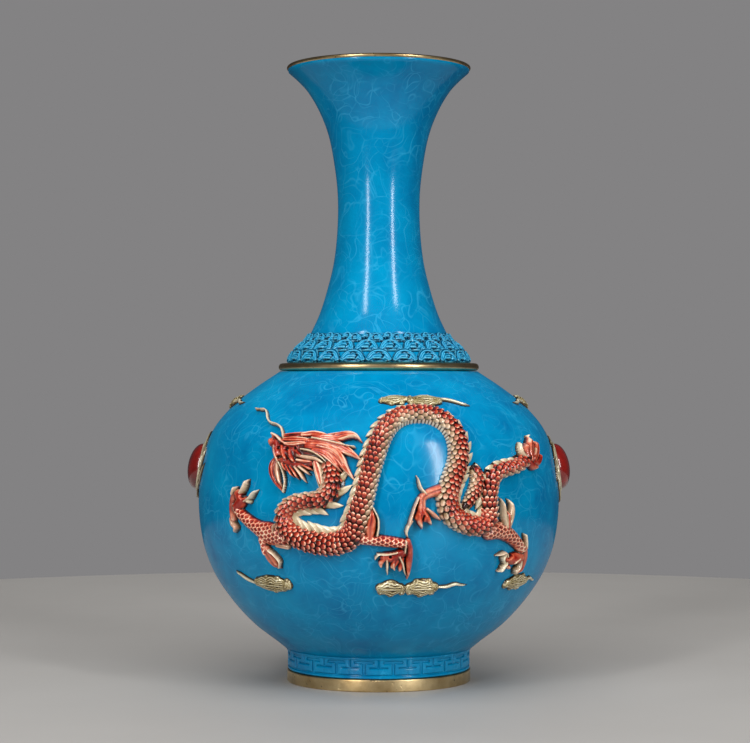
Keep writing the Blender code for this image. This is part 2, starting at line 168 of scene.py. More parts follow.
def mesh_of(name, points, quads, marks=None):
    """Smooth mesh from points in millimetres, four-cornered faces and marks per point."""
    mesh = bpy.data.meshes.new(name)
    quads = np.asarray(quads, dtype=np.int32)
    mesh.vertices.add(len(points))
    mesh.vertices.foreach_set("co", (np.asarray(points, dtype=np.float64) * MM).ravel())
    mesh.loops.add(quads.size)
    mesh.loops.foreach_set("vertex_index", quads.ravel())
    mesh.polygons.add(len(quads))
    mesh.polygons.foreach_set("loop_start", np.arange(len(quads), dtype=np.int32) * 4)
    mesh.update(calc_edges=True)
    mesh.validate()
    mesh.shade_smooth()
    for mark, values in (marks or {}).items():
        layer = mesh.attributes.new(mark, "FLOAT", "POINT")
        layer.data.foreach_set("value", np.asarray(values, dtype=np.float32).ravel())
    return mesh


def lathe(name, outline, segments, inside=None):
    """Closed ring turned from a closed outline of (radius, height), down its outer side first."""
    outline = np.asarray(outline, float)
    turn = np.linspace(0.0, math.tau, segments, endpoint=False)
    across = outline[:, 0][None, :] * np.cos(turn)[:, None]
    ahead = outline[:, 0][None, :] * np.sin(turn)[:, None]
    up = np.broadcast_to(outline[:, 1][None, :], across.shape)
    points = np.stack([across, ahead, up], -1).reshape(-1, 3)
    count = len(outline)
    ring, step = np.meshgrid(np.arange(segments), np.arange(count), indexing="ij")
    next_ring, next_step = (ring + 1) % segments, (step + 1) % count
    quads = np.stack([ring * count + step, ring * count + next_step,
                      next_ring * count + next_step, next_ring * count + step], -1).reshape(-1, 4)
    marks = {}
    if inside is not None:
        marks["inside"] = np.tile(np.asarray(inside, float), segments)
    return mesh_of(name, points, quads, marks)


# ---------------------------------------------------------------- relief castings
def mark(points, rise, tone=0.0, polish=0.0, grooves=0, rings=0, scaled=0.0, flat=False, carve=False):
    """One stroke of a casting: a route of (azimuth, height, half width) and its shape.

    tone runs from 0, red, to 1, gold. polish makes it paler or, below 0, darker. grooves counts
    lines cut along it, and rings those round it. scaled is the size of the scales on it. flat
    squares its top, and carve cuts it in.
    """
    return {"points": points, "rise": rise, "tone": tone, "polish": polish, "grooves": grooves,
            "rings": rings, "scaled": scaled, "flat": flat, "carve": carve}


def set_back(wall, points, lift):
    """Route moved along the wall so that it is at its own height once it is raised by lift."""
    points = np.array(points, float)
    points[:, 1] += lift * wall.slope(points[:, 1]) / wall.stretch(points[:, 1])
    return points


def smooth_route(wall, points, spacing):
    """Evenly spaced samples of a smooth curve through a route's points: azimuth, height, width."""
    points = np.asarray(points, float)
    if len(points) == 1:
        return points
    places = wall.points(points[:, 0], points[:, 1], 0.0)
    steps = np.linalg.norm(np.diff(places, axis=0), axis=1)
    lengths = np.concatenate([[0.0], np.cumsum(steps)])
    count = max(3, int(round(lengths[-1] / spacing)))
    samples = np.linspace(0.0, lengths[-1], count + 1)
    curves = [list(zip(lengths, points[:, axis])) for axis in range(points.shape[1])]
    return np.array([[through(curve, at) for curve in curves] for at in samples])


def scale_pattern(along, across, size):
    """Height and rim of overlapping round scales that lie along a limb, tips to the tail."""
    height = np.zeros_like(along)
    rim = np.zeros_like(along)
    done = np.zeros(along.shape, bool)
    row = np.floor(along / size)
    for back in (1, 0, -1):
        index = row - back
        shift = 0.5 * (index % 2)
        column = np.round(across / size - shift) + shift
        reach = np.hypot((along - (index + 0.1) * size) / (1.25 * size),
                         (across - column * size) / (0.62 * size))
        here = (reach < 1.0) & ~done
        height = np.where(here, reach ** 2, height)
        rim = np.where(here, np.clip((reach - 0.62) / 0.25, 0.0, 1.0), rim)
        done |= here
    return height, rim


def stroke_field(wall, stroke, azimuth, height):
    """Where a stroke covers the chart's points: its height there, and the scales' rims."""
    route = smooth_route(wall, stroke["points"], 0.5)
    radius, stretch = wall.radius(route[:, 1]), wall.stretch(route[:, 1])
    widest = route[:, 2].max() * 1.2
    reach_a = np.degrees(widest / radius.min())
    reach_z = widest / stretch.min()
    near = ((azimuth > route[:, 0].min() - reach_a) & (azimuth < route[:, 0].max() + reach_a)
            & (height > route[:, 1].min() - reach_z) & (height < route[:, 1].max() + reach_z))
    index = np.flatnonzero(near)
    if not len(index):
        return index, None, None, None
    a, z = azimuth.ravel()[index], height.ravel()[index]
    across = np.radians(a[:, None] - route[None, :, 0]) * radius[None, :]
    up = (z[:, None] - route[None, :, 1]) * stretch[None, :]
    far = across ** 2 + up ** 2
    best = far.argmin(axis=1)
    rows = np.arange(len(best))
    across, up, far = across[rows, best], up[rows, best], np.sqrt(far[rows, best])
    if len(route) > 1:
        ahead = np.gradient(route[:, :2], axis=0)
        ahead = np.stack([np.radians(ahead[:, 0]) * radius, ahead[:, 1] * stretch], -1)
        ahead /= np.linalg.norm(ahead, axis=1, keepdims=True)
        side = -across * ahead[best, 1] + up * ahead[best, 0]
        on = across * ahead[best, 0] + up * ahead[best, 1]
        ends = (best == 0) | (best == len(route) - 1)
        span = np.where(ends, far, np.abs(side))
        along = best * 0.5 + on
    else:
        side, span, along = across, far, up
    width = route[best, 2]
    share = span / width
    covered = share < 1.0
    power = 6.0 if stroke["flat"] else 2.0
    profile = np.sqrt(np.clip(1.0 - share ** power, 0.0, 1.0))
    crest = stroke["rise"] * np.minimum(1.0, (width / (0.55 * route[:, 2].max())) ** 0.7)
    # rim marks the crests that relief() paints paler, partly as painted highlight.
    rim = np.zeros_like(profile)
    lift = profile * crest
    if stroke["grooves"]:
        wave = (0.5 - 0.5 * np.cos(math.pi * (side / width + 1.0) * (stroke["grooves"] + 1.0))) ** 0.6
        lift -= 0.28 * np.minimum(crest, 2.4) * (1.0 - wave) * profile
        rim = 0.5 * wave
    if stroke["scaled"]:
        bump, rim = scale_pattern(along, side, stroke["scaled"])
        lift += 0.55 * bump * profile
        rim = 1.7 * rim * profile
    if stroke["rings"]:
        ripple = 0.5 * np.sin(5.0 * np.arctan2(up, across) + 0.9 * along)
        wave = 0.5 + 0.5 * np.cos(math.tau * (share + ripple * share * (1.0 - share)) * stroke["rings"])
        lift -= 0.8 * (1.0 - wave) * profile
        rim = 1.7 * wave ** 3
    return index[covered], lift[covered], rim[covered], profile[covered]


def blurred(field, times):
    """Field softened by averaging neighbours a number of times."""
    for _ in range(times):
        padded = np.pad(field, 1, mode="edge")
        field = (padded[:-2, 1:-1] + padded[2:, 1:-1] + padded[1:-1, :-2] + padded[1:-1, 2:]
                 + 2.0 * field) / 6.0
    return field


def relief(name, strokes, wall=BODY_WALL, cell=0.3, floor=-0.7, ground=None, window=None, front=False):
    """Closed casting raised over a wall from its strokes, with marks for its colouring: painted shade in its
    hollows and round its foot, and paler ridges, part rubbed metal and part painted highlight.

    ground gives the whole window that height, for a tile; otherwise only the strokes are kept.
    front says that the strokes' heights are those of their raised tops.
    """
    if front:
        crest = max(stroke["rise"] for stroke in strokes)
        strokes = [dict(stroke, points=set_back(wall, stroke["points"], 0.8 * crest if stroke["carve"]
                                                else 0.85 * stroke["rise"])) for stroke in strokes]
    routes = np.concatenate([np.asarray(stroke["points"], float) for stroke in strokes])
    if window is None:
        margin = routes[:, 2].max() + 2.0
        low_z, high_z = routes[:, 1].min() - margin, routes[:, 1].max() + margin
        spread = np.degrees(margin / wall.radius(0.5 * (low_z + high_z)))
        window = (routes[:, 0].min() - spread, routes[:, 0].max() + spread, low_z, high_z)
    middle = 0.5 * (window[2] + window[3])
    columns = int((window[1] - window[0]) / np.degrees(cell / wall.radius(middle))) + 2
    rows = int((window[3] - window[2]) * wall.stretch(middle) / cell) + 2
    azimuth, height = np.meshgrid(np.linspace(window[0], window[1], columns),
                                  np.linspace(window[2], window[3], rows))
    field = np.full(azimuth.size, floor if ground is None else ground)
    tone, rim, polish = (np.zeros(azimuth.size) for _ in range(3))
    for stroke in strokes:
        index, lift, edge, profile = stroke_field(wall, stroke, azimuth, height)
        if not len(index):
            continue
        if stroke["carve"]:
            field[index] -= stroke["rise"] * profile
            continue
        here = field[index]
        soft = 0.5 * (here + lift + np.sqrt((here - lift) ** 2 + 0.09))
        above = lift > here
        field[index] = np.where(here <= floor + 1e-6, lift, soft)
        tone[index] = np.where(above, stroke["tone"], tone[index])
        rim[index] = np.where(above, edge, rim[index])
        polish[index] = np.where(above, stroke["polish"], polish[index])
    field = blurred(np.maximum(field.reshape(azimuth.shape), floor), 1)
    # Painted shade and highlight: where the relief sinks below its blurred self it gets painted shade; where
    # it stands above, it gets paler, part rubbed metal and part painted highlight.
    ridge = field - blurred(np.maximum(field, 0.0), 10)
    gilt = 0.24 + blurred(polish.reshape(azimuth.shape), 1) + 0.40 * rim.reshape(azimuth.shape)
    gilt = gilt + np.clip(0.65 * ridge, -0.25, 0.5)
    shade = np.clip(-1.2 * ridge - 0.16, 0.0, 1.0)
    # Painted shadow: the lowest 1.5 mm of a casting is darkened into a dark outline where it meets the wall.
    if ground is None:
        shade = np.maximum(shade, np.clip(1.0 - field / 1.5, 0.0, 1.0))
    solid = field > floor + 0.02
    return slab(name, wall, azimuth, height, field, solid, floor - 0.4,
                {"gilt": gilt, "shade": shade, "tone": tone.reshape(azimuth.shape)})


def slab(name, wall, azimuth, height, field, solid, under, marks):
    """Closed solid between a height field and a flat underside, where solid is true."""
    cells = solid[:-1, :-1] & solid[1:, :-1] & solid[:-1, 1:] & solid[1:, 1:]
    for _ in range(3):
        block = [cells[:-1, :-1], cells[:-1, 1:], cells[1:, :-1], cells[1:, 1:]]
        crossed = (block[0] & block[3] & ~block[1] & ~block[2])
        crossed |= (block[1] & block[2] & ~block[0] & ~block[3])
        rows, columns = np.nonzero(crossed)
        for down in (0, 1):
            for over in (0, 1):
                cells[rows + down, columns + over] = True
    rows, columns = np.nonzero(cells)
    width = azimuth.shape[1]
    total = azimuth.size
    corner = rows * width + columns
    top = np.stack([corner, corner + 1, corner + width + 1, corner + width], -1)
    faces = [top, top[:, ::-1] + total]
    padded = np.pad(cells, 1)
    for start, end, shift in ((0, 1, (0, 1)), (1, 2, (1, 2)), (2, 3, (2, 1)), (3, 0, (1, 0))):
        open_side = ~padded[rows + shift[0], columns + shift[1]]
        first, last = top[open_side, start], top[open_side, end]
        faces.append(np.stack([last, first, first + total, last + total], -1))
    faces = np.concatenate(faces)
    used, packed = np.unique(faces, return_inverse=True)
    upper = wall.points(azimuth.ravel(), height.ravel(), np.maximum(field, under + 0.1).ravel())
    lower = wall.points(azimuth.ravel(), height.ravel(), under)
    points = np.concatenate([upper, lower])[used]
    values = {key: np.tile(value.ravel(), 2)[used] for key, value in marks.items()}
    return mesh_of(name, points, packed.reshape(-1, 4), values)


def turned_copy(mesh, name, degrees):
    """Copy of a mesh turned round the vase's axis."""
    copy = mesh.copy()
    copy.name = name
    points = np.empty(len(mesh.vertices) * 3)
    mesh.vertices.foreach_get("co", points)
    points = points.reshape(-1, 3)
    sine, cosine = math.sin(math.radians(degrees)), math.cos(math.radians(degrees))
    turn = np.array([[cosine, sine, 0.0], [-sine, cosine, 0.0], [0.0, 0.0, 1.0]])
    copy.vertices.foreach_set("co", (points @ turn).ravel())
    copy.update()
    return copy


# ---------------------------------------------------------------- shader maths
class Signal:
    """A shader value that Python's operators work on, adding Math nodes."""

    def __init__(self, tree, socket):
        self.tree, self.socket = tree, socket

    def joined(self, operation, first, second, clamp=False):
        node = self.tree.nodes.new("ShaderNodeMath")
        node.operation = operation
        node.use_clamp = clamp
        plug(self.tree, node.inputs[0], first)
        plug(self.tree, node.inputs[1], second)
        return Signal(self.tree, node.outputs[0])

    def __add__(self, other):
        return self.joined("ADD", self, other)

    def __radd__(self, other):
        return self.joined("ADD", other, self)

    def __sub__(self, other):
        return self.joined("SUBTRACT", self, other)

    def __rsub__(self, other):
        return self.joined("SUBTRACT", other, self)

    def __mul__(self, other):
        return self.joined("MULTIPLY", self, other)

    def __rmul__(self, other):
        return self.joined("MULTIPLY", other, self)

    def clamped(self):
        """The value held between 0 and 1."""
        return self.joined("ADD", self, 0.0, clamp=True)


def plug(tree, socket, value):
    """Set a socket to a value, or link a signal to it."""
    if isinstance(value, Signal):
        tree.links.new(value.socket, socket)
    else:
        socket.default_value = value


def add_node(tree, kind, settings=None, values=None, output=0):
    """A node of a kind, its settings first and then its sockets, as a signal of one output."""
    node = tree.nodes.new(kind)
    for key, value in (settings or {}).items():
        if key == "stops":
            for _ in range(len(value) - len(node.color_ramp.elements)):
                node.color_ramp.elements.new(0.5)
            for element, (place, colour) in zip(node.color_ramp.elements, value):
                element.position = place
                element.color = colour
        else:
            setattr(node, key, value)
    for key, value in (values or {}).items():
        plug(tree, node.inputs[key], value)
    return Signal(tree, node.outputs[output])


class Finish:
    """A material being made: its tree, its coordinates and short names for common nodes."""

    def __init__(self, name):
        self.material = bpy.data.materials.new(name)
        self.material.use_nodes = True
        self.tree = self.material.node_tree
        self.shader = self.tree.nodes["Principled BSDF"]
        self.place = self.add("ShaderNodeTexCoord", output="Object")

    def add(self, kind, settings=None, values=None, output=0):
        return add_node(self.tree, kind, settings, values, output)

    def noise(self, scale, detail=3.0, roughness=0.55, distortion=0.0, where=None):
        values = {"Vector": where or self.place, "Scale": scale, "Detail": detail,
                  "Roughness": roughness, "Distortion": distortion}
        return self.add("ShaderNodeTexNoise", values=values)

    def mark(self, name):
        return self.add("ShaderNodeAttribute", {"attribute_name": name}, output="Fac")

    def ramp(self, value, low, high):
        """0 below low, 1 above high, straight between."""
        values = {"Value": value, "From Min": low, "From Max": high}
        return self.add("ShaderNodeMapRange", values=values)

    def mix(self, share, first, second):
        """Blend of two colours."""
        node = self.tree.nodes.new("ShaderNodeMix")
        node.data_type = "RGBA"
        for socket, value in ((node.inputs["Factor"], share), (node.inputs[6], first),
                              (node.inputs[7], second)):
            plug(self.tree, socket, value)
        return Signal(self.tree, node.outputs[2])

    def set(self, **values):
        """Set the shader's sockets; an underscore stands for a space."""
        for key, value in values.items():
            plug(self.tree, self.shader.inputs[key.replace("_", " ")], value)

    def bump(self, height, distance, strength=1.0):
        values = {"Height": height, "Distance": distance, "Strength": strength}
        self.set(Normal=self.add("ShaderNodeBump", values=values))


def linear(red, green, blue):
    """Scene colour of a display colour given in parts of 255."""
    parts = [value / 255.0 for value in (red, green, blue)]
    made = [part / 12.92 if part <= 0.04045 else ((part + 0.055) / 1.055) ** 2.4 for part in parts]
    return (*made, 1.0)


def patina_finish(name, inner=False):
    """Turquoise patina with faint curled hairlines under gloss, painted shade in its relief's hollows and
    painted highlights on its ridges; bare copper where it is inside.
    """
    f = Finish(name)
    swirl = f.add("ShaderNodeTexNoise", values={"Vector": f.place, "Scale": 42.0, "Detail": 1.0},
                  output="Color")
    swirl = f.add("ShaderNodeVectorMath", {"operation": "SCALE"}, {0: swirl, "Scale": 0.055})
    bent = f.add("ShaderNodeVectorMath", {"operation": "ADD"}, {0: f.place, 1: swirl})
    lines = 0.0
    for scale, width, drift in ((92.0, 0.055, 1.0), (54.0, 0.040, 7.3)):
        shifted = f.add("ShaderNodeVectorMath", {"operation": "ADD"}, {0: bent, 1: (drift, 0.3, drift)})
        cells = f.add("ShaderNodeTexVoronoi", {"feature": "DISTANCE_TO_EDGE"},
                      {"Vector": shifted, "Scale": scale})
        line = 1.0 - f.ramp(cells, 0.0, width)
        fade = f.ramp(f.noise(60.0, 2.0, where=shifted), 0.42, 0.66)
        lines = line * fade + lines
    lines = lines.clamped()
    cloud = f.ramp(f.noise(22.0, 5.0, 0.65), 0.30, 0.72)
    fine = f.ramp(f.noise(90.0, 4.0, 0.6), 0.3, 0.8)
    deep = f.mix(fine, linear(0, 102, 154), linear(0, 122, 172))
    ground = f.mix(cloud * 0.8, deep, linear(0, 152, 198))
    colour = f.mix(lines * 0.36, ground, linear(60, 178, 222))
    # Painted shade: near navy where the relief's shade mark is high. Painted highlight: pale cyan on its
    # ridges.
    shade, gilt = f.mark("shade"), f.mark("gilt")
    colour = f.mix((shade * 1.8).clamped() * 0.92, colour, linear(0, 14, 40))
    colour = f.mix(f.ramp(gilt, 0.38, 0.9) * 0.75, colour, linear(96, 196, 230))
    metallic = 0.0
    if inner:
        inside = f.mark("inside")
        copper = f.mix(f.noise(60.0, 5.0, 0.65), linear(112, 70, 48), linear(158, 108, 76))
        colour = f.mix(inside, colour, copper)
        metallic = inside * 0.85
    f.set(Base_Color=colour, Metallic=metallic, Roughness=f.noise(160.0, 4.0) * 0.12 + 0.36,
          Coat_Weight=0.55, Coat_Roughness=0.15, Specular_IOR_Level=0.0)
    f.bump(lines * 0.2 + f.noise(240.0, 3.0) * 0.3, 0.0002, 0.6)
    return f.material


def brass_finish(name):
    """Polished brass, toned darker in patches, with fine turning marks and small pits."""
    f = Finish(name)
    tone = f.ramp(f.noise(46.0, 5.0, 0.62), 0.34, 0.72)
    pits = f.ramp(f.noise(420.0, 2.0), 0.66, 0.74)
    colour = f.mix(tone, linear(190, 158, 108), linear(244, 220, 170))
    colour = f.mix(pits * 0.7, colour, linear(92, 66, 44))
    f.set(Base_Color=colour, Metallic=1.0, Roughness=f.noise(110.0, 4.0) * 0.16 + 0.24)
    f.bump(f.noise(300.0, 3.0) + pits * -1.5, 0.00012, 0.7)
    return f.material


def casting_finish(name, stops, metal, metallic):
    """Cast relief: lacquer in the hollows, darkened there as painted shade, rubbed back to paler metal on
    what stands proud, which is also painted highlight.

    stops are the lacquer's colours from its hollows to its ridges, running from painted shade to painted
    highlight; metal is the two of bare metal.
    """
    f = Finish(name)
    tone, gilt, shade = f.mark("tone"), f.mark("gilt"), f.mark("shade")
    wear = f.noise(170.0, 4.0, 0.6) - 0.5
    patch = f.noise(90.0, 3.0) - 0.5
    # level rises with gilt, part rubbed metal and part painted highlight, and falls with painted shade.
    level = gilt + wear * 0.55 + patch * 0.7 - shade * 0.5
    places = (0.05, 0.34, 0.62, 0.98)
    lacquer = f.add("ShaderNodeValToRGB", {"stops": list(zip(places, stops))}, {"Fac": level})
    bare = f.mix(f.ramp(level, 0.0, 0.85), metal[0], metal[1])
    share = (tone + wear * 0.5 + patch * 0.4).clamped()
    colour = f.mix(share, lacquer, bare)
    # Painted shade: near black where the shade mark is high.
    colour = f.mix(f.ramp(shade + wear * 0.3, 0.18, 0.80) * 0.92, colour, linear(30, 18, 14))
    f.set(Base_Color=colour, Metallic=metallic, Roughness=f.noise(260.0, 3.0) * 0.25 + 0.22,
          Coat_Weight=0.6, Coat_Roughness=0.10)
    f.bump(f.noise(620.0, 3.0), 0.00015, 0.8)
    return f.material


def pearl_finish(name):
    """Deep red glossy lacquer, darker in clouds, with fine scratches."""
    f = Finish(name)
    cloud = f.ramp(f.noise(70.0, 4.0, 0.6), 0.3, 0.7)
    colour = f.mix(cloud, linear(78, 10, 8), linear(150, 26, 18))
    f.set(Base_Color=colour, Roughness=f.noise(180.0, 4.0) * 0.15 + 0.18, Coat_Weight=1.0,
          Coat_Roughness=0.05)
    f.bump(f.noise(380.0, 4.0), 0.0001, 0.5)
    return f.material


def ground_finish(name):
    """Plain pale paper for the floor, with a very faint grain."""
    f = Finish(name)
    f.set(Base_Color=f.mix(f.noise(9.0, 3.0), linear(168, 165, 161), linear(176, 173, 169)),
          Roughness=0.55)
    return f.material


# ---------------------------------------------------------------- geometry trees
def new_tree(name, inputs):
    """Empty geometry tree with its group input and output and named inputs."""
    tree = bpy.data.node_groups.new(name, "GeometryNodeTree")
    tree.interface.new_socket("Geometry", in_out="INPUT", socket_type="NodeSocketGeometry")
    for label, kind, default in inputs:
        socket = tree.interface.new_socket(label, in_out="INPUT", socket_type=kind)
        if default is not None:
            socket.default_value = default
    tree.interface.new_socket("Geometry", in_out="OUTPUT", socket_type="NodeSocketGeometry")
    start = tree.nodes.new("NodeGroupInput")
    end = tree.nodes.new("NodeGroupOutput")
    return tree, start, end


def ending(tree, end, geometry, material):
    """The end of every tree: real geometry with its material."""
    real = add_node(tree, "GeometryNodeRealizeInstances", values={0: geometry})
    done = add_node(tree, "GeometryNodeSetMaterial", values={0: real, "Material": material})
    tree.links.new(done.socket, end.inputs[0])


def ring_tree():
    """Repeats a unit round the vase's axis a number of times."""
    tree, start, end = new_tree("units_round_the_vase", [
        ("Unit", "NodeSocketObject", None), ("Count", "NodeSocketInt", 20),
        ("First turn", "NodeSocketFloat", 0.0), ("Material", "NodeSocketMaterial", None)])
    given = {socket.name: Signal(tree, socket) for socket in start.outputs if socket.name}
    unit = add_node(tree, "GeometryNodeObjectInfo", values={"Object": given["Unit"]}, output="Geometry")
    points = add_node(tree, "GeometryNodePoints", values={"Count": given["Count"]})
    index = add_node(tree, "GeometryNodeInputIndex")
    step = index * math.tau
    share = step.joined("DIVIDE", step, given["Count"]) + given["First turn"]
    spin = add_node(tree, "ShaderNodeCombineXYZ", values={"Z": share})
    placed = add_node(tree, "GeometryNodeInstanceOnPoints",
                      values={"Points": points, "Instance": unit, "Rotation": spin})
    ending(tree, end, placed, given["Material"])
    return tree


def row_tree():
    """Sets a tile on each seed point, upright on the surface and pointing along it."""
    tree, start, end = new_tree("tiles_along_a_surface", [
        ("Tile", "NodeSocketObject", None), ("Tile size", "NodeSocketFloat", 1.0),
        ("Size variation", "NodeSocketFloat", 0.08), ("Seed", "NodeSocketInt", 4),
        ("Material", "NodeSocketMaterial", None)])
    given = {socket.name: Signal(tree, socket) for socket in start.outputs if socket.name}
    tile = add_node(tree, "GeometryNodeObjectInfo", values={"Object": given["Tile"]}, output="Geometry")
    vector = {"data_type": "FLOAT_VECTOR"}
    facing = add_node(tree, "GeometryNodeInputNamedAttribute", vector, {"Name": "facing"})
    heading = add_node(tree, "GeometryNodeInputNamedAttribute", vector, {"Name": "heading"})
    size = add_node(tree, "GeometryNodeInputNamedAttribute", vector, {"Name": "size"})
    turn = add_node(tree, "FunctionNodeAxesToRotation", {"primary_axis": "Z", "secondary_axis": "Y"},
                    {0: facing, 1: heading})
    spread = add_node(tree, "FunctionNodeRandomValue", {"data_type": "FLOAT"},
                      {2: 1.0 - given["Size variation"], 3: given["Size variation"] + 1.0,
                       "Seed": given["Seed"]}, output=1)
    scaled = add_node(tree, "ShaderNodeVectorMath", {"operation": "SCALE"},
                      {0: size, "Scale": spread * given["Tile size"]})
    placed = add_node(tree, "GeometryNodeInstanceOnPoints",
                      values={"Points": given["Geometry"], "Instance": tile, "Rotation": turn,
                              "Scale": scaled})
    ending(tree, end, placed, given["Material"])
    return tree


def grown(holder, tree, values, name):
    """Plain mesh that a tree makes on a holder object, with the holder removed."""
    modifier = holder.modifiers.new(tree.name, "NODES")
    modifier.node_group = tree
    for socket in tree.interface.items_tree:
        if socket.in_out == "INPUT" and socket.name in values:
            modifier[socket.identifier] = values[socket.name]
    depsgraph = bpy.context.evaluated_depsgraph_get()
    mesh = bpy.data.meshes.new_from_object(holder.evaluated_get(depsgraph))
    mesh.name = name
    bpy.data.objects.remove(holder)
    return mesh


def piece(name, mesh, slot, *nodes, material=None):
    """A finished piece of the vase that stands for CAD nodes."""
    item = new_object(name, mesh)
    if material is not None:
        item.data.materials.clear()
        item.data.materials.append(material)
    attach(item, BODY)
    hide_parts(*nodes)
    return item


# ---------------------------------------------------------------- turned parts
def inset(wall, heights, depth):
    """Points of (radius, height) set in from a wall by its thickness."""
    stretch = wall.stretch(heights)
    return np.stack([wall.radius(heights) - depth / stretch,
                     heights + depth * wall.slope(heights) / stretch], -1)


def rounded(points, radius, steps=5):
    """Closed outline of (radius, height) with its corners rounded."""
    points = [Vector(point) for point in points]
    made = []
    for index, corner in enumerate(points):
        back = points[index - 1] - corner
        ahead = points[(index + 1) % len(points)] - corner
        reach = min(radius, back.length * 0.45, ahead.length * 0.45)
        start, end = corner + back.normalized() * reach, corner + ahead.normalized() * reach
        for step in range(steps + 1):
            share = step / steps
            made.append(tuple(start.lerp(corner, share).lerp(corner.lerp(end, share), share)))
    return made


def make_shells(patina):
    """Body and neck as thin spun shells with a bare copper inside."""
    skirt = node_box("neck_sleeve")[1][0]
    down = np.linspace(SHOULDER_TOP, 19.3, 110)
    outer = np.stack([BODY_WALL.radius(down), down], -1)
    inner = inset(BODY_WALL, np.linspace(21.5, SHOULDER_TOP - 3.0, 50), WALL)
    flange = SHOULDER_TOP - WALL
    outline = np.concatenate([[(skirt - WALL, SHOULDER_TOP)], outer, [(48.5, 19.3), (48.5, 20.8)],
                              inner, [(57.6, flange), (skirt - WALL, flange)]])
    inside = [0.0] * (1 + len(outer)) + [1.0] * (len(outline) - 1 - len(outer))
    piece("body_skin", lathe("body_skin", outline, 216, inside), "blue_patina", "body_shell",
          material=patina)
    down = np.linspace(NECK_OUTLINE[-1][0], NECK_OUTLINE[0][0], 110)
    outer = np.stack([NECK_WALL.radius(down), down], -1)
    inner = inset(NECK_WALL, down[::-2], WALL)
    outer = np.concatenate([[(52.0, 358.3), (53.3, 358.0)], outer])
    outline = np.concatenate([outer, [(skirt, 197.0), (skirt, SHOULDER_TOP + 0.3),
                                      (skirt - WALL, SHOULDER_TOP + 0.3), (skirt - WALL, 197.0)], inner])
    inside = [0.0] * len(outer) + [1.0] * (len(outline) - len(outer))
    piece("neck_skin", lathe("neck_skin", outline, 180, inside), "blue_patina", "neck_sleeve",
          "neck_shell", "mouth_shell", material=patina)


def make_brass_rings(brass):
    """Lip wire, shoulder ring and foot ring."""
    wire = (HEIGHT - node_box("lip_ring")[0][2]) / 2.0
    turns = np.linspace(math.pi / 2, -1.5 * math.pi, 24, endpoint=False)
    lip = [(LIP_RADIUS - wire + wire * math.cos(turn), HEIGHT - wire + wire * math.sin(turn))
           for turn in turns]
    piece("lip_wire", lathe("lip_wire", lip, 180), "polished_brass", "lip_ring", material=brass)
    half = (RING_TOP - RING_LOW) / 2.0
    middle = (RING_TOP + RING_LOW) / 2.0
    round_side = [(RING_RADIUS - half + half * math.cos(turn), middle + half * math.sin(turn))
                  for turn in np.linspace(math.pi / 2, -math.pi / 2, 13)]
    ring = round_side + [(41.2, RING_LOW), (41.2, RING_TOP)]
    piece("shoulder_ring", lathe("shoulder_ring", ring, 180), "polished_brass", "collar_ring",
          material=brass)
    inner = FOOT_RADIUS - 5.0
    foot = rounded([(FOOT_RADIUS, FOOT_RING_TOP), (FOOT_RADIUS, 0.0), (inner, 0.0),
                    (inner, FOOT_RING_TOP)], 0.7)
    piece("foot_rim", lathe("foot_rim", foot, 180), "polished_brass", "foot_ring", material=brass)


def make_foot(patina, tree):
    """Foot band with its raised key pattern, and the plate that closes the bottom."""
    inner = BAND_RADIUS - WALL
    floor_radius = BAND_WALL.radius(BAND_LOW)
    top = BODY_OUTLINE[0][0]
    outline = rounded([(54.2, top), (54.0, BAND_TOP - 0.9), (floor_radius, BAND_TOP - 1.0),
                       (floor_radius, BAND_LOW + 1.5), (BAND_RADIUS + 0.4, BAND_LOW + 1.3),
                       (BAND_RADIUS + 0.3, BAND_LOW + 0.1), (inner, BAND_LOW + 0.1), (inner, top)],
                      0.35, 3)
    piece("foot_tube", lathe("foot_tube", outline, 180), "blue_patina", "foot_band",
          material=patina)
    count = 20
    half = 180.0 / count
    key = [
        mark([(-0.60 * half, 16.5, 0.62), (0.60 * half, 16.5, 0.62)], 1.9, flat=True, carve=True),
        mark([(0.0, 16.5, 0.72), (0.0, 8.9, 0.72)], 1.9, flat=True, carve=True),
        mark([(-1.05 * half, 9.1, 0.38), (1.05 * half, 9.1, 0.38)], 1.9, flat=True, carve=True),
    ]
    for side in (-1.0, 1.0):
        key.append(mark([(side * half, 18.5, 0.60), (side * half, 13.7, 0.60)], 0.8, flat=True, carve=True))
        key.append(mark([(side * 0.40 * half, 13.4, 0.42), (side * 1.05 * half, 13.4, 0.42)], 0.8,
                        flat=True, carve=True))
    unit = new_object("key_unit", relief("key_unit", key, BAND_WALL, 0.27, ground=0.95,
                                         window=(-half * 0.995, half * 0.995, 8.6, 18.4)))
    holder = new_object("key_holder", bpy.data.meshes.new("key_holder"))
    mesh = grown(holder, tree, {"Unit": unit, "Count": count, "First turn": math.radians(9.0),
                                "Material": patina}, "key_pattern")
    bpy.data.objects.remove(unit)
    piece("key_pattern", mesh, "blue_patina")
    plate = node_box("base_plate")
    disc = rounded([(plate[1][0], plate[1][2]), (plate[1][0], plate[0][2]), (0.05, plate[0][2]),
                    (0.05, plate[1][2])], 0.3, 3)
    piece("bottom_plate", lathe("bottom_plate", disc, 96, [1.0] * len(disc)), "blue_patina",
          "base_plate", material=patina)


def scroll(azimuth, height, size, flip):
    """One cloud scroll: a rounded pad ringed with lines, and a hook cut into it."""
    def at(right, up, width):
        return (azimuth + flip * right * size, height + up * size, width * size)
    return [
        mark([at(-5.4, -1.6, 1.7), at(-3.2, 0.6, 2.3), at(0.0, 1.2, 2.7), at(3.2, 0.6, 2.3),
              at(5.4, -1.6, 1.7)], 1.9, rings=2),
        mark([at(-2.6, -1.4, 2.0), at(2.6, -1.4, 2.0)], 1.8, rings=1),
        mark([at(-2.4, -1.8, 0.45), at(0.4, -1.9, 0.45), at(2.3, -0.6, 0.5), at(1.8, 0.9, 0.5),
              at(0.0, 1.5, 0.45), at(-1.8, 1.0, 0.4)], 1.3, carve=True),
    ]


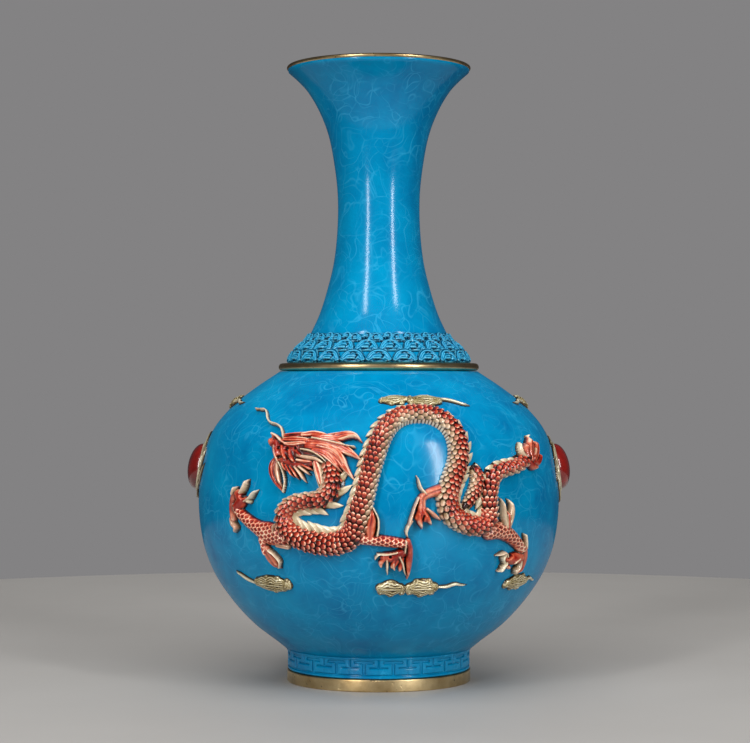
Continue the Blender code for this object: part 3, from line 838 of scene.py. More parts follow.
def make_collar(patina, tree):
    """Bulging collar with rows of cloud scrolls, each over the gaps of the one below."""
    heights = np.linspace(COLLAR_OUTLINE[-1][0], COLLAR_OUTLINE[0][0], 30)
    outer = np.stack([COLLAR_WALL.radius(heights) - 0.6, heights], -1)
    outline = np.concatenate([outer, [(41.0, heights[-1]), (41.0, 196.0), (39.9, heights[0])]])
    piece("collar_band", lathe("collar_band", outline, 180), "blue_patina", "cloud_collar",
          material=patina)
    count = 22
    half = 180.0 / count
    strokes = (scroll(0.0, 189.4, 1.15, 1.0) + scroll(half, 195.4, 1.12, 1.0)
               + scroll(-0.3 * half, 199.8, 0.85, -1.0) + scroll(0.9 * half, 201.0, 0.6, 1.0))
    unit = new_object("scroll_unit", relief("scroll_unit", strokes, COLLAR_WALL, 0.33))
    holder = new_object("scroll_holder", bpy.data.meshes.new("scroll_holder"))
    mesh = grown(holder, tree, {"Unit": unit, "Count": count, "Material": patina}, "cloud_scrolls")
    bpy.data.objects.remove(unit)
    piece("cloud_scrolls", mesh, "blue_patina")


# ---------------------------------------------------------------- the dragon's body
DRAGON_BODY = [
    (-15.6, 132.0, 3.8), (-14.6, 126.3, 4.6), (-13.9, 121.0, 5.2), (-14.6, 115.5, 5.0),
    (-17.5, 111.6, 4.5), (-21.5, 110.6, 4.1), (-25.3, 109.0, 4.4), (-28.0, 105.2, 4.8),
    (-28.6, 100.0, 5.0), (-27.4, 94.6, 5.3), (-24.0, 90.4, 5.7), (-19.0, 88.0, 6.0),
    (-14.0, 87.4, 6.2), (-9.6, 89.6, 6.3), (-7.2, 94.0, 6.3), (-6.1, 100.0, 6.1),
    (-5.1, 106.0, 5.7), (-4.2, 112.0, 5.3), (-3.1, 120.0, 5.0), (-1.8, 130.0, 5.2),
    (-0.4, 138.0, 5.2), (1.2, 145.0, 5.1), (3.8, 151.0, 5.0), (8.0, 154.9, 4.8),
    (13.0, 156.0, 4.7), (18.0, 155.2, 4.8), (22.2, 151.6, 5.0), (24.5, 146.0, 5.2),
    (25.0, 139.0, 5.3), (24.4, 132.0, 5.3), (23.0, 126.0, 5.4), (21.5, 120.0, 5.6),
    (20.4, 114.0, 5.7), (20.4, 108.0, 5.7), (21.6, 102.8, 5.6), (24.8, 98.8, 5.4),
    (28.8, 96.6, 5.2), (32.4, 97.0, 4.8), (34.0, 101.5, 4.8), (34.0, 107.0, 4.7),
    (34.1, 113.0, 4.5), (35.2, 119.5, 4.2), (37.6, 124.2, 3.9), (41.5, 126.2, 3.7),
    (45.5, 127.4, 3.5), (49.6, 129.6, 3.3), (53.0, 132.2, 3.0),
]
BACK_COIL = [
    (28.6, 128.4, 2.2), (30.0, 125.0, 3.4), (30.4, 120.4, 3.9), (29.4, 116.0, 3.6),
    (27.9, 112.0, 3.0), (26.4, 108.6, 2.2), (25.2, 106.0, 1.6),
]
STRAND_STEP = 0.5
BELLY_EDGE = 152.0
DORSAL_EDGE = 14.0
# Width of the strip under the fin blades, painted dark as painted shade between them.
FIN_SHADOW_STRIP = 2.0
SINK = 1.0


class Strand:
    """A round bar laid along a route on the body's wall, with a frame at each step."""

    def __init__(self, route, rise):
        self.route = smooth_route(BODY_WALL, route, STRAND_STEP)
        azimuth, height, self.half = self.route.T
        self.rise = rise * np.minimum(1.0, self.half / (0.8 * self.half.max())) ** 0.6
        self.foot = BODY_WALL.points(azimuth, height, 0.0)
        self.up = BODY_WALL.normals(azimuth, height)
        ahead = np.gradient(self.foot, axis=0)
        ahead -= (ahead * self.up).sum(1, keepdims=True) * self.up
        self.ahead = ahead / np.linalg.norm(ahead, axis=1, keepdims=True)
        self.left = np.cross(self.up, self.ahead)
        self.count = len(self.route)

    def at(self, index, angle, lift=0.0):
        """Point and outward direction at a step and an angle from the back's edge over to the belly's."""
        turn = np.radians(angle)
        cosine, sine = np.cos(turn)[..., None], np.sin(turn)[..., None]
        half, rise = self.half[index][..., None], self.rise[index][..., None]
        left, up = self.left[index], self.up[index]
        out = left * cosine * rise + up * sine * half
        out = out / np.linalg.norm(out, axis=-1, keepdims=True)
        lift = np.asarray(lift)[..., None] if np.ndim(lift) else lift
        return self.foot[index] + left * half * cosine + up * (rise * sine - SINK * 0.2) + out * lift, out

    def skin(self, name, rib):
        """Mesh of the strand: smooth under its scales, ribbed at its belly, a strip under its fin; the strip,
        the back's edge and the strand between the scales are painted dark as painted shade, and the ribs'
        crests are paler.
        """
        around = np.concatenate([[-2.0, -1.0], np.linspace(0.0, 180.0, 30), [200.0]])
        step, angle = np.meshgrid(np.arange(self.count), around, indexing="ij")
        wave = np.abs(np.sin(math.pi * step * STRAND_STEP / rib)) ** 0.6
        belly = np.clip((angle - BELLY_EDGE + 6.0) / 8.0, 0.0, 1.0) * (angle <= 180.0)
        lift = belly * (0.75 * wave - 0.25)
        points, _ = self.at(step, np.clip(angle, 0.0, 180.0), lift)
        low = ((angle > 180.0) | (angle < -1.5))[..., None]
        shadow_strip = (angle < 0.0)[..., None]
        points = points - np.where(low, SINK, 0.0) * self.up[step]
        points = points + np.where(shadow_strip, FIN_SHADOW_STRIP, 0.0) * self.left[step]
        points = points + np.where(shadow_strip & ~low, 0.6, 0.0) * self.up[step]
        size = len(around)
        ring, corner = np.meshgrid(np.arange(self.count - 1), np.arange(size), indexing="ij")
        beside = (corner + 1) % size
        quads = np.stack([ring * size + corner, ring * size + size + corner,
                          ring * size + size + beside, ring * size + beside], -1).reshape(-1, 4)
        first = [(0, index, index + 1, index + 2) for index in range(1, size - 2, 2)]
        last = [[(self.count - 1) * size + index for index in (quad[0], quad[3], quad[2], quad[1])]
                for quad in first]
        # Painted shade and highlight: rib crests paler; rib gaps and the strand seen between scales darker;
        # the strip under the fin darkest.
        gilt = (belly * (0.15 + 0.8 * wave)).ravel()
        shade = np.where(belly > 0.5, 0.75 * (1.0 - wave), 0.55)
        shade = np.where(angle < 8.0, 1.0, shade).ravel()
        tone = (belly * 0.7 * self.paleness(step)).ravel()
        quads = np.concatenate([quads, first, last])
        return mesh_of(name, points.reshape(-1, 3), quads, {"gilt": gilt, "shade": shade, "tone": tone})

    def paleness(self, step):
        """How pale the belly's side is made: fully on the arch, hardly low on the body, rising with height.
        """
        return np.clip((self.route[step, 1] - 92.0) / 10.0, 0.12, 1.0)

    def scale_seeds(self, pitch, width):
        """Places for the scales, in staggered rows between the back's edge and the belly."""
        seeds = []
        span = BELLY_EDGE - DORSAL_EDGE
        for row in range(1, int(self.count * STRAND_STEP / pitch) - 1):
            index = int(row * pitch / STRAND_STEP)
            arc = math.radians(span) * 0.5 * (self.half[index] + self.rise[index])
            columns = max(2, int(round(arc / width)))
            for column in range(columns):
                share = (column + 0.25 + 0.5 * (row % 2)) / columns
                angle = DORSAL_EDGE + span * share
                where = np.array(index)
                point, out = self.at(where, np.array(angle), 0.1)
                ahead = self.ahead[index]
                tilt = math.radians(21.0)
                facing = out * math.cos(tilt) - ahead * math.sin(tilt)
                heading = ahead * math.cos(tilt) + out * math.sin(tilt)
                pale = np.clip((angle - 102.0) / 32.0, 0.0, 1.0) * 0.75 * self.paleness(index)
                seeds.append((point, facing, heading, (arc / columns * 1.02, pitch * 1.36, 1.0), pale))
        return seeds

    def spine_seeds(self, spacing, length, start, end):
        """Places for the fin blades along the back's edge, tips towards the head."""
        seeds = []
        for place in np.arange(start, end, spacing):
            index = min(int(place / STRAND_STEP), self.count - 1)
            point = self.foot[index] + self.left[index] * self.half[index] * 0.92 + self.up[index] * 1.3
            heading = self.left[index] * 0.80 - self.ahead[index] * 0.60
            facing = self.up[index] * 0.97 + self.left[index] * 0.22
            looped = np.clip((-8.5 - self.route[index, 0]) / 3.0, 0.0, 1.0)
            size = length * min(1.0, self.half[index] / 4.6) * (1.0 + 0.35 * looped)
            seeds.append((point, facing, heading, (spacing * 0.84, size, 1.7), 1.0))
        return seeds


def seed_object(name, seeds):
    """Points that carry a direction, a heading, a size and a tone for the tile set on each."""
    mesh = bpy.data.meshes.new(name)
    mesh.vertices.add(len(seeds))
    mesh.vertices.foreach_set("co", np.array([seed[0] for seed in seeds]).ravel() * MM)
    for slot, key in ((1, "facing"), (2, "heading"), (3, "size")):
        layer = mesh.attributes.new(key, "FLOAT_VECTOR", "POINT")
        layer.data.foreach_set("vector", np.array([seed[slot] for seed in seeds], float).ravel())
    layer = mesh.attributes.new("tone", "FLOAT", "POINT")
    layer.data.foreach_set("value", np.array([seed[4] for seed in seeds], dtype=np.float32))
    return new_object(name, mesh)


def tile(name, outline, crown, sunk, tip, pale):
    """Small domed tile, one unit long, crowned in the middle.

    Its outline is (x, y) points; past tip lies its free edge, where its rim is made paler by pale, as rubbed
    metal and painted highlight; its sunk outline is painted dark as painted shade.
    """
    outline = np.array(outline, float)
    centre = np.array([outline[:, 0].mean(), outline[:, 1].mean()])
    inner = centre + (outline - centre) * 0.60
    count = len(outline)
    rings = [(outline, -sunk), (outline, crown * 0.45), (inner, crown)]
    points = [(x * MM, y * MM, z * MM) for ring, z in rings for x, y in ring]
    points.append((centre[0] * MM, centre[1] * MM, crown * 1.12 * MM))
    faces = [tuple(reversed(range(count)))]
    for ring in range(2):
        for step in range(count):
            low, beside = ring * count + step, ring * count + (step + 1) % count
            faces.append((low, beside, beside + count, low + count))
    faces += [(2 * count + step, 2 * count + (step + 1) % count, 3 * count) for step in range(count)]
    mesh = bpy.data.meshes.new(name)
    mesh.from_pydata(points, [], faces)
    mesh.shade_smooth()
    # Painted shade under each tile's edge, and a paler free edge that is partly painted highlight.
    edge = np.clip((outline[:, 1] - tip) * 2.5, 0.0, 1.0)
    gilt = np.concatenate([edge * 0.0, 0.1 + edge * pale, 0.24 + edge * 0.4, [0.30]])
    shade = np.concatenate([np.full(count, 1.1), 0.5 * (1.0 - edge), np.zeros(count + 1)])
    for key, values in (("gilt", gilt), ("shade", shade)):
        layer = mesh.attributes.new(key, "FLOAT", "POINT")
        layer.data.foreach_set("value", values.astype(np.float32))
    return new_object(name, mesh)


def scale_tile():
    """Fish scale: rounded at its free end, narrower at its root."""
    outline = [(0.34, -0.30), (0.50, 0.10), (0.46, 0.42), (0.26, 0.66), (0.0, 0.74),
               (-0.26, 0.66), (-0.46, 0.42), (-0.50, 0.10), (-0.34, -0.30)]
    return tile("scale_tile", outline, 0.42, 0.7, 0.2, 0.8)


def spine_tile():
    """Fin blade, hooked to one side like a saw tooth."""
    outline = [(0.50, -0.25), (0.46, 0.20), (0.22, 0.55), (-0.14, 0.84), (-0.48, 1.02),
               (-0.50, 0.70), (-0.46, 0.30), (-0.44, -0.25)]
    return tile("spine_tile", outline, 0.5, 0.7, 0.1, 0.9)


def join_meshes(name, meshes):
    """One mesh from several, keeping their marks and materials."""
    items = [new_object(f"{name}_{index}", mesh) for index, mesh in enumerate(meshes)]
    with bpy.context.temp_override(active_object=items[0], object=items[0], selected_objects=items,
                                   selected_editable_objects=items):
        bpy.ops.object.join()
    mesh = items[0].data
    mesh.name = name
    bpy.data.objects.remove(items[0])
    return mesh


def make_dragon_body(lacquer, tree):
    """Both dragons' bodies with scales and fin blades, and the coil that shows behind each."""
    strand = Strand(DRAGON_BODY, 7.0)
    length = strand.count * STRAND_STEP
    coil = Strand(BACK_COIL, 4.6)
    scales, spines = scale_tile(), spine_tile()
    laid = {}
    laid["dragon_scales"] = (scales, strand.scale_seeds(2.7, 2.9))
    laid["dragon_spines"] = (spines, strand.spine_seeds(5.2, 6.0, 6.0, length - 12.0))
    laid["coil_scales"] = (scales, coil.scale_seeds(2.4, 2.5))
    laid["coil_spines"] = (spines, coil.spine_seeds(4.0, 2.6, 3.0, coil.count * STRAND_STEP - 1.0))
    made = {"dragon_body": strand.skin("dragon_body", 2.5), "dragon_coil": coil.skin("dragon_coil", 2.2)}
    made["dragon_body"].materials.append(lacquer)
    made["dragon_coil"].materials.append(lacquer)
    for name, (shape, places) in laid.items():
        values = {"Tile": shape, "Material": lacquer, "Seed": 11}
        made[name] = grown(seed_object(f"{name}_seeds", places), tree, values, name)
    bpy.data.objects.remove(scales)
    bpy.data.objects.remove(spines)
    made["dragon_coil"] = join_meshes("dragon_coil", [made["dragon_coil"], made.pop("coil_scales"),
                                                      made.pop("coil_spines")])
    for side, turn in (("front", 0.0), ("back", BACK_TURN)):
        for name, mesh in made.items():
            node = f"{side}_{name}"
            replaced = [node] if name in ("dragon_body", "dragon_coil") else []
            piece(f"{node}_cast", turned_copy(mesh, node, turn), "dragon_red", *replaced)


# ---------------------------------------------------------------- the dragon's head and limbs
def taper(points, start, end):
    """Route of (azimuth, height) given half widths that run from start to end."""
    last = len(points) - 1
    return [(azimuth, height, start + (end - start) * index / last)
            for index, (azimuth, height) in enumerate(points)]


def leaf(points, width, rise, **look):
    """Leaf-shaped stroke: widest near a third of its length, drawn out to a point."""
    shape = {2: (1.0, 0.15), 3: (0.8, 1.0, 0.15), 4: (0.7, 1.0, 0.75, 0.12),
             5: (0.6, 1.0, 0.95, 0.6, 0.12), 6: (0.55, 0.95, 1.0, 0.8, 0.5, 0.12)}[len(points)]
    return mark([(a, z, width * share) for (a, z), share in zip(points, shape)], rise, **look)


def claw(points, width, rise):
    """Pale hooked claw."""
    return leaf(points, 0.72 * width, rise, tone=0.85)


def plate(points, width, rise, polish=0.3, grooves=2, **look):
    """Flat-topped lock of the mane: a leaf with lines cut along it."""
    return leaf(points, width, rise, polish=polish, grooves=grooves, flat=True, **look)


def thread(points, start, end, rise, tone=1.0, **look):
    """Thin rubbed line that stands a little proud."""
    return mark(taper(points, start, end), rise, tone=tone, **look)


def face_strokes():
    """Muzzle, brows, eye and cheek, the muzzle towards -X."""
    return [
        mark([(-31.5, 138.0, 5.0), (-27.0, 138.4, 6.8), (-22.0, 138.8, 7.2), (-17.0, 138.4, 6.0),
              (-13.5, 136.0, 4.2)], 5.0, polish=0.04),
        mark([(-33.0, 142.0, 3.8), (-32.2, 138.0, 3.8), (-31.4, 134.6, 3.0), (-29.4, 132.8, 2.6)], 5.2,
             polish=0.08),
        mark([(-34.5, 142.7, 2.8)], 6.4, polish=0.1),
        mark([(-33.9, 145.5, 1.9)], 6.0, polish=0.2),
        mark([(-35.3, 141.4, 0.7)], 1.8, carve=True),
        thread([(-34.7, 147.0), (-32.8, 145.6), (-30.8, 143.2), (-28.8, 141.4)], 1.1, 0.9, 6.6, 0.0,
               polish=0.3),
        thread([(-33.1, 140.4), (-32.7, 137.4), (-32.0, 134.6), (-31.0, 131.8)], 0.6, 0.5, 6.0, 0.6),
        plate([(-30.2, 145.8), (-26.4, 146.2), (-22.6, 146.8), (-19.2, 147.0)], 1.7, 4.8, -0.1, 1),
        plate([(-29.9, 143.8), (-26.4, 144.0), (-23.0, 143.9), (-19.8, 143.2)], 1.6, 5.8, 0.2, 1),
        plate([(-29.0, 141.4), (-26.2, 141.4), (-23.4, 141.9), (-20.6, 141.8)], 1.3, 6.2, 0.32, 1),
        plate([(-24.0, 146.4), (-20.6, 147.2), (-17.4, 146.8), (-14.0, 146.0)], 1.7, 5.4, 0.25, 1),
        leaf([(-30.0, 139.8), (-29.5, 136.8), (-28.7, 134.2), (-27.8, 132.0)], 1.9, 6.3, polish=0.1),
        leaf([(-27.1, 137.6), (-26.7, 135.0), (-26.0, 132.8), (-24.8, 131.0)], 1.9, 6.5, polish=0.12),
        leaf([(-24.9, 137.4), (-23.8, 135.6), (-22.6, 134.4)], 1.6, 6.2, polish=0.05),
        mark([(-25.3, 139.6, 1.7)], 6.4, polish=-0.1),
        mark([(-25.4, 139.3, 0.9)], 2.4, carve=True),
        mark([(-28.3, 138.9, 1.2)], 2.0, carve=True),
        mark([(-31.3, 139.4, 1.1)], 1.8, carve=True),
        mark([(-31.0, 134.3, 1.2), (-29.9, 134.4, 0.8)], 2.4, carve=True),
        mark([(-27.4, 133.2, 0.8), (-26.6, 131.6, 0.6)], 1.8, carve=True),
        thread([(-23.4, 138.7), (-20.6, 137.9), (-18.2, 136.0), (-16.0, 133.1), (-13.8, 129.3)],
               0.75, 0.4, 7.2, 0.9),
        leaf([(-24.6, 135.2), (-21.6, 134.2), (-18.8, 133.5), (-16.6, 131.7), (-14.2, 128.9)], 1.5, 6.4,
             tone=0.7, grooves=1),
        leaf([(-24.6, 132.6), (-21.8, 131.9), (-19.0, 131.7)], 1.4, 5.6, polish=0.4),
    ]


def mane_strokes():
    """Horns and the broad locks that sweep back from the brow."""
    return [
        plate([(-20.2, 144.8), (-16.0, 145.3), (-12.5, 145.8), (-9.2, 147.0), (-6.8, 146.2), (-5.1, 143.7)],
              2.5, 5.8, 0.12, 3),
        plate([(-22.5, 142.2), (-18.0, 142.2), (-13.6, 141.0), (-10.2, 138.8), (-7.6, 136.2), (-5.0, 133.1)],
              3.3, 5.4, 0.12, 3),
        plate([(-21.5, 140.2), (-17.2, 139.6), (-13.8, 137.0), (-11.4, 133.2), (-9.6, 128.4), (-7.2, 122.5)],
              3.8, 5.8, 0.12, 4),
        plate([(-19.5, 138.0), (-16.2, 136.4), (-14.0, 133.4), (-12.6, 130.4), (-10.6, 126.4)],
              2.2, 6.2, 0.08, 2),
        thread([(-20.4, 145.0), (-16.0, 143.7), (-12.4, 142.3), (-9.6, 141.1), (-7.2, 140.8)], 0.6, 0.4, 7.0),
        thread([(-18.6, 140.6), (-14.4, 138.8), (-11.6, 135.0), (-10.2, 131.0)], 0.4, 0.3, 6.8, 0.5),
        mark([(-16.4, 147.4, 0.8), (-13.6, 147.2, 0.6)], 1.2, carve=True),
    ]


def jaw_strokes():
    """Jaw with its spikes, the beard, the lock down the throat and the whisker."""
    spikes = [
        ((-29.6, 130.6), (-28.7, 128.4), (-27.5, 126.0)), ((-28.2, 129.6), (-26.9, 126.6), (-25.6, 122.9)),
        ((-26.7, 129.0), (-25.2, 125.8), (-23.9, 121.8)), ((-25.2, 128.8), (-23.4, 125.2), (-21.6, 120.4)),
        ((-23.8, 129.0), (-22.0, 126.8), (-20.2, 124.4)), ((-22.6, 129.8), (-20.9, 128.4), (-19.3, 127.2)),
    ]
    made = [mark([(-29.6, 132.2, 1.8), (-27.2, 130.8, 2.9), (-24.6, 129.8, 3.3), (-22.2, 130.2, 2.8),
                  (-19.8, 130.9, 1.8)], 4.6)]
    for index, route in enumerate(spikes):
        made.append(leaf(list(route), 1.1, 5.4, tone=0.6 if index in (3, 4) else 0.0, polish=0.05))
    return made + [
        leaf([(-32.6, 133.0), (-33.4, 129.4), (-33.0, 125.0), (-31.4, 120.0), (-29.2, 114.6)], 3.0, 3.8,
             grooves=2, polish=-0.05),
        leaf([(-31.6, 131.0), (-31.6, 127.0), (-30.8, 122.6), (-29.6, 117.6)], 1.5, 4.4,
             tone=0.45, grooves=1),
        thread([(-31.2, 131.6), (-30.0, 128.6), (-28.9, 124.4), (-28.5, 120.0), (-29.0, 114.8)],
               0.55, 0.3, 4.8),
        plate([(-18.6, 131.4), (-17.6, 126.6), (-16.8, 121.6), (-16.2, 117.0)], 2.3, 5.4, 0.3, 1),
        thread([(-19.4, 130.6), (-18.7, 126.0), (-17.8, 121.0), (-17.0, 117.2)], 0.45, 0.35, 5.2),
        thread([(-31.4, 144.4), (-32.4, 147.8), (-33.8, 150.4), (-36.0, 152.0), (-39.0, 153.0),
                (-41.0, 154.8), (-43.0, 157.8), (-45.2, 159.9), (-48.0, 160.2), (-51.0, 160.4)],
               0.9, 0.5, 2.8, 0.85),
    ]


def head_strokes():
    """The whole head in profile."""
    return face_strokes() + mane_strokes() + jaw_strokes()


def left_foreleg_strokes():
    """Leg stretched to -X: scaled arm, open paw with raised claws and a spur behind."""
    return [
        mark([(-30.0, 90.0, 5.2), (-34.5, 91.6, 6.4), (-38.6, 94.6, 4.4), (-42.4, 98.4, 3.5),
              (-45.8, 102.6, 3.1), (-47.0, 105.4, 3.0)], 4.6, scaled=2.3),
        mark([(-48.4, 98.4, 1.5), (-48.8, 103.0, 2.0), (-48.6, 109.0, 2.1), (-47.8, 114.6, 1.3)], 4.2,
             tone=0.1),
        mark([(-46.4, 106.0, 3.2), (-44.8, 109.6, 3.8), (-46.2, 112.8, 3.0)], 4.8, polish=0.04),
        mark([(-43.8, 112.0, 1.2)], 3.6, carve=True),
        mark([(-46.8, 111.8, 0.9)], 3.0, carve=True),
        claw([(-44.6, 113.6), (-43.6, 116.0), (-42.9, 118.6), (-42.4, 122.0)], 1.6, 5.4),
        claw([(-42.6, 109.0), (-40.6, 111.2), (-39.6, 113.4), (-38.4, 116.2)], 1.4, 5.4),
        mark([(-41.4, 109.2, 1.5)], 5.0, tone=1.0),
        leaf([(-48.2, 112.6), (-47.8, 115.0), (-47.2, 117.4)], 1.2, 5.0, tone=0.8),
        leaf([(-49.0, 99.0), (-48.6, 96.0), (-47.4, 93.6), (-49.0, 90.4)], 1.8, 4.4, tone=0.55),
        mark([(-36.6, 88.4, 3.0), (-36.4, 84.4, 1.9), (-36.0, 81.0, 2.0)], 4.6, scaled=2.1),
        leaf([(-35.8, 83.0), (-34.8, 79.0), (-33.6, 75.6), (-31.6, 71.8)], 3.4, 4.2, grooves=1, tone=0.15),
        mark(taper([(-34.6, 82.4), (-32.4, 79.4), (-31.2, 76.0), (-31.8, 72.6)], 0.8, 0.5), 4.6, tone=0.8),
        leaf([(-31.8, 92.6), (-32.0, 95.4), (-31.6, 98.0)], 1.0, 5.0, tone=0.6),
        mark([(-31.4, 85.6, 1.8), (-28.0, 84.6, 1.6)], 3.8, tone=0.5, grooves=1),
    ]


def right_foreleg_strokes():
    """Leg under the chest: arm, straight shank, a paw turned to -X and a flame on the shoulder."""
    return [
        mark([(-4.4, 90.0, 3.6), (0.6, 88.8, 3.2), (5.0, 87.8, 3.0), (8.0, 87.0, 2.6)], 4.8, scaled=2.2),
        mark([(8.4, 88.4, 2.0), (9.0, 84.0, 2.1), (9.0, 78.0, 2.1), (8.9, 72.4, 1.4), (8.7, 66.8, 0.4)], 5.2,
             tone=0.06),
        mark(taper([(7.8, 88.8), (7.7, 85.4), (7.6, 82.6)], 0.7, 0.5), 6.0, tone=0.9),
        mark([(7.2, 82.4, 2.6), (4.8, 80.0, 3.4), (1.8, 79.8, 2.8)], 4.6, polish=0.06),
        mark([(5.0, 78.0, 2.8), (4.2, 74.6, 1.5)], 4.8, polish=0.1, grooves=1),
        leaf([(1.6, 79.0), (0.6, 76.4), (0.9, 73.6)], 1.5, 4.8, polish=0.08),
        leaf([(6.8, 79.0), (6.6, 75.0), (6.0, 71.4)], 1.7, 5.0, polish=0.1),
        mark([(3.4, 80.2, 0.8)], 2.0, carve=True),
        mark(taper([(-0.4, 81.6), (2.4, 81.6), (5.4, 82.6)], 0.6, 0.5), 5.0, tone=0.9),
        claw([(0.2, 81.6), (-0.8, 80.0), (-1.3, 77.6)], 1.0, 4.8),
        claw([(2.4, 78.6), (2.5, 75.6), (2.5, 72.4), (2.7, 68.6)], 1.2, 5.2),
        claw([(6.0, 80.4), (7.0, 76.6), (7.6, 72.0), (8.5, 68.0)], 1.1, 6.0),
        leaf([(4.4, 76.4), (4.4, 74.2), (5.0, 72.2)], 1.0, 5.4, tone=0.5),
        leaf([(-2.4, 90.6), (-2.4, 96.0), (-1.9, 101.6), (-2.0, 107.8)], 3.2, 5.2, grooves=1),
        mark(taper([(-4.6, 93.0), (-4.7, 97.4), (-3.8, 102.0), (-2.4, 107.0)], 0.9, 0.5), 5.8, tone=0.9),
        mark(taper([(-0.4, 92.0), (0.0, 96.6), (-0.2, 101.6), (-1.5, 107.0)], 0.8, 0.5), 5.8, tone=1.0),
    ]


def left_hindleg_strokes():
    """Leg left of the tail: thigh, pale spur, and a paw with one long claw."""
    return [
        mark([(19.0, 117.0, 3.4), (15.6, 115.4, 3.0), (12.8, 112.6, 2.6), (12.4, 107.6, 2.6),
              (12.6, 102.8, 2.8)], 4.8, tone=0.08, grooves=1),
        claw([(13.6, 114.4), (12.2, 117.6), (11.6, 121.0), (11.1, 125.0)], 1.5, 4.8),
        mark(taper([(11.4, 112.4), (10.2, 107.0), (9.4, 102.0), (8.8, 98.0)], 0.8, 1.1), 5.0, tone=0.55),
        mark([(12.6, 106.0, 2.6), (11.4, 101.6, 2.2)], 4.6, polish=0.1),
        claw([(9.6, 99.6), (8.4, 96.4), (8.0, 93.0), (8.7, 90.0)], 1.6, 4.6),
        mark([(10.0, 98.6, 0.9)], 2.4, carve=True),
        mark([(12.6, 104.4, 3.0), (13.6, 101.4, 2.6)], 4.8, polish=0.12),
        leaf([(11.6, 103.4), (11.8, 99.4), (12.6, 94.8)], 1.7, 5.4, polish=0.15),
        leaf([(13.0, 104.4), (14.2, 100.6), (15.4, 97.0)], 1.6, 5.2, polish=0.2),
        leaf([(14.0, 106.0), (16.2, 102.6), (18.4, 99.4)], 1.4, 5.0, tone=0.4),
        mark([(12.9, 102.6, 0.6), (12.7, 100.2, 0.4)], 1.8, carve=True),
    ]


def right_hindleg_strokes():
    """Leg at +X: thigh with two pale flame prongs, shank running down, paw and spur."""
    return [
        mark([(34.6, 92.0, 4.4), (38.8, 92.8, 5.0), (42.6, 90.0, 4.4), (46.0, 86.0, 3.6), (48.8, 82.0, 3.0)],
             4.8, scaled=2.3, tone=0.12),
        mark([(49.8, 82.0, 2.0), (50.6, 77.0, 2.4), (50.4, 72.0, 1.9), (49.4, 66.8, 0.5)], 4.8, tone=0.05),
        leaf([(40.4, 95.0), (39.6, 100.6), (39.2, 105.4), (38.7, 111.4)], 2.1, 4.8, tone=0.8),
        leaf([(41.4, 95.0), (42.4, 101.0), (42.5, 105.8), (41.5, 110.8)], 2.1, 4.8, tone=0.8),
        leaf([(40.8, 94.0), (40.8, 98.6), (40.7, 104.4)], 1.7, 5.2),
        mark([(48.8, 76.6, 3.4), (45.6, 76.0, 3.6), (43.0, 76.8, 2.4)], 4.6, polish=0.05),
        mark([(42.9, 77.8, 1.0), (44.4, 78.6, 0.7)], 2.8, carve=True),
        mark([(46.2, 73.0, 0.8)], 2.4, carve=True),
        claw([(42.4, 78.0), (41.4, 80.2), (39.8, 79.6), (37.9, 78.2)], 1.2, 4.8),
        mark(taper([(41.2, 79.0), (40.8, 76.8), (41.6, 74.6)], 0.8, 0.7), 4.8, tone=0.9),
        claw([(42.6, 74.6), (41.6, 72.0), (41.2, 70.4), (40.2, 68.6)], 1.2, 4.8),
        claw([(47.6, 76.6), (45.8, 74.6), (45.2, 73.2)], 1.1, 5.4),
        claw([(48.8, 75.0), (49.0, 71.6), (48.0, 69.0), (48.6, 66.0)], 1.4, 5.0),
        mark([(44.4, 71.8, 1.5)], 3.8),
        mark(taper([(50.9, 82.0), (50.5, 85.6), (49.7, 89.6)], 0.95, 0.7), 4.0, tone=1.0),
    ]


def tail_tuft_strokes():
    """Flame-shaped tuft at the end of the tail."""
    return [
        mark([(52.0, 131.2, 3.2), (54.6, 134.6, 5.4), (56.0, 138.0, 4.6)], 4.0),
        leaf([(51.4, 132.0), (49.8, 135.6), (49.5, 139.0), (50.4, 142.4)], 1.6, 4.4, tone=0.85),
        leaf([(52.0, 132.6), (51.9, 136.4), (53.2, 141.4)], 2.6, 5.0, tone=0.1),
        leaf([(53.6, 132.0), (53.8, 136.0), (54.8, 140.4), (56.3, 145.8)], 3.2, 5.6, tone=0.1, grooves=1),
        leaf([(55.6, 132.0), (57.4, 135.4), (58.6, 139.2), (58.4, 143.0)], 3.0, 5.0, grooves=1),
        leaf([(54.4, 130.0), (57.2, 129.8), (59.2, 132.0), (60.0, 135.6)], 2.6, 4.6),
        leaf([(52.6, 130.2), (54.6, 127.8), (57.4, 126.6)], 2.2, 4.4),
        leaf([(54.6, 134.4), (55.4, 136.6), (56.4, 138.8)], 1.1, 6.2, tone=0.5),
        mark([(56.2, 145.0, 0.8)], 4.0, tone=1.0),
    ]


# ---------------------------------------------------------------- clouds, pearls and flames
PUFF_RISE = 2.9
KNOB_RISE = 2.4


def puff(start, end, width, rings=3):
    """Oval swell of a cloud with wavy rings cut round it."""
    (left, low), (right, high) = start, end
    shares = ((-0.25, 0.55), (0.15, 0.88), (0.5, 1.0), (0.85, 0.88), (1.25, 0.55))
    route = [(left + (right - left) * place, low + (high - low) * place, width * share)
             for place, share in shares]
    return mark(route, PUFF_RISE, tone=0.15, polish=-0.04, rings=rings)


def knobs(places):
    """Small round curls along a cloud's edge."""
    return [mark([place], KNOB_RISE, tone=0.3, rings=1) for place in places]


def wisp(points):
    """Thin wavy tail of a cloud."""
    return leaf(points, 1.0, 2.2, tone=1.0, grooves=1)


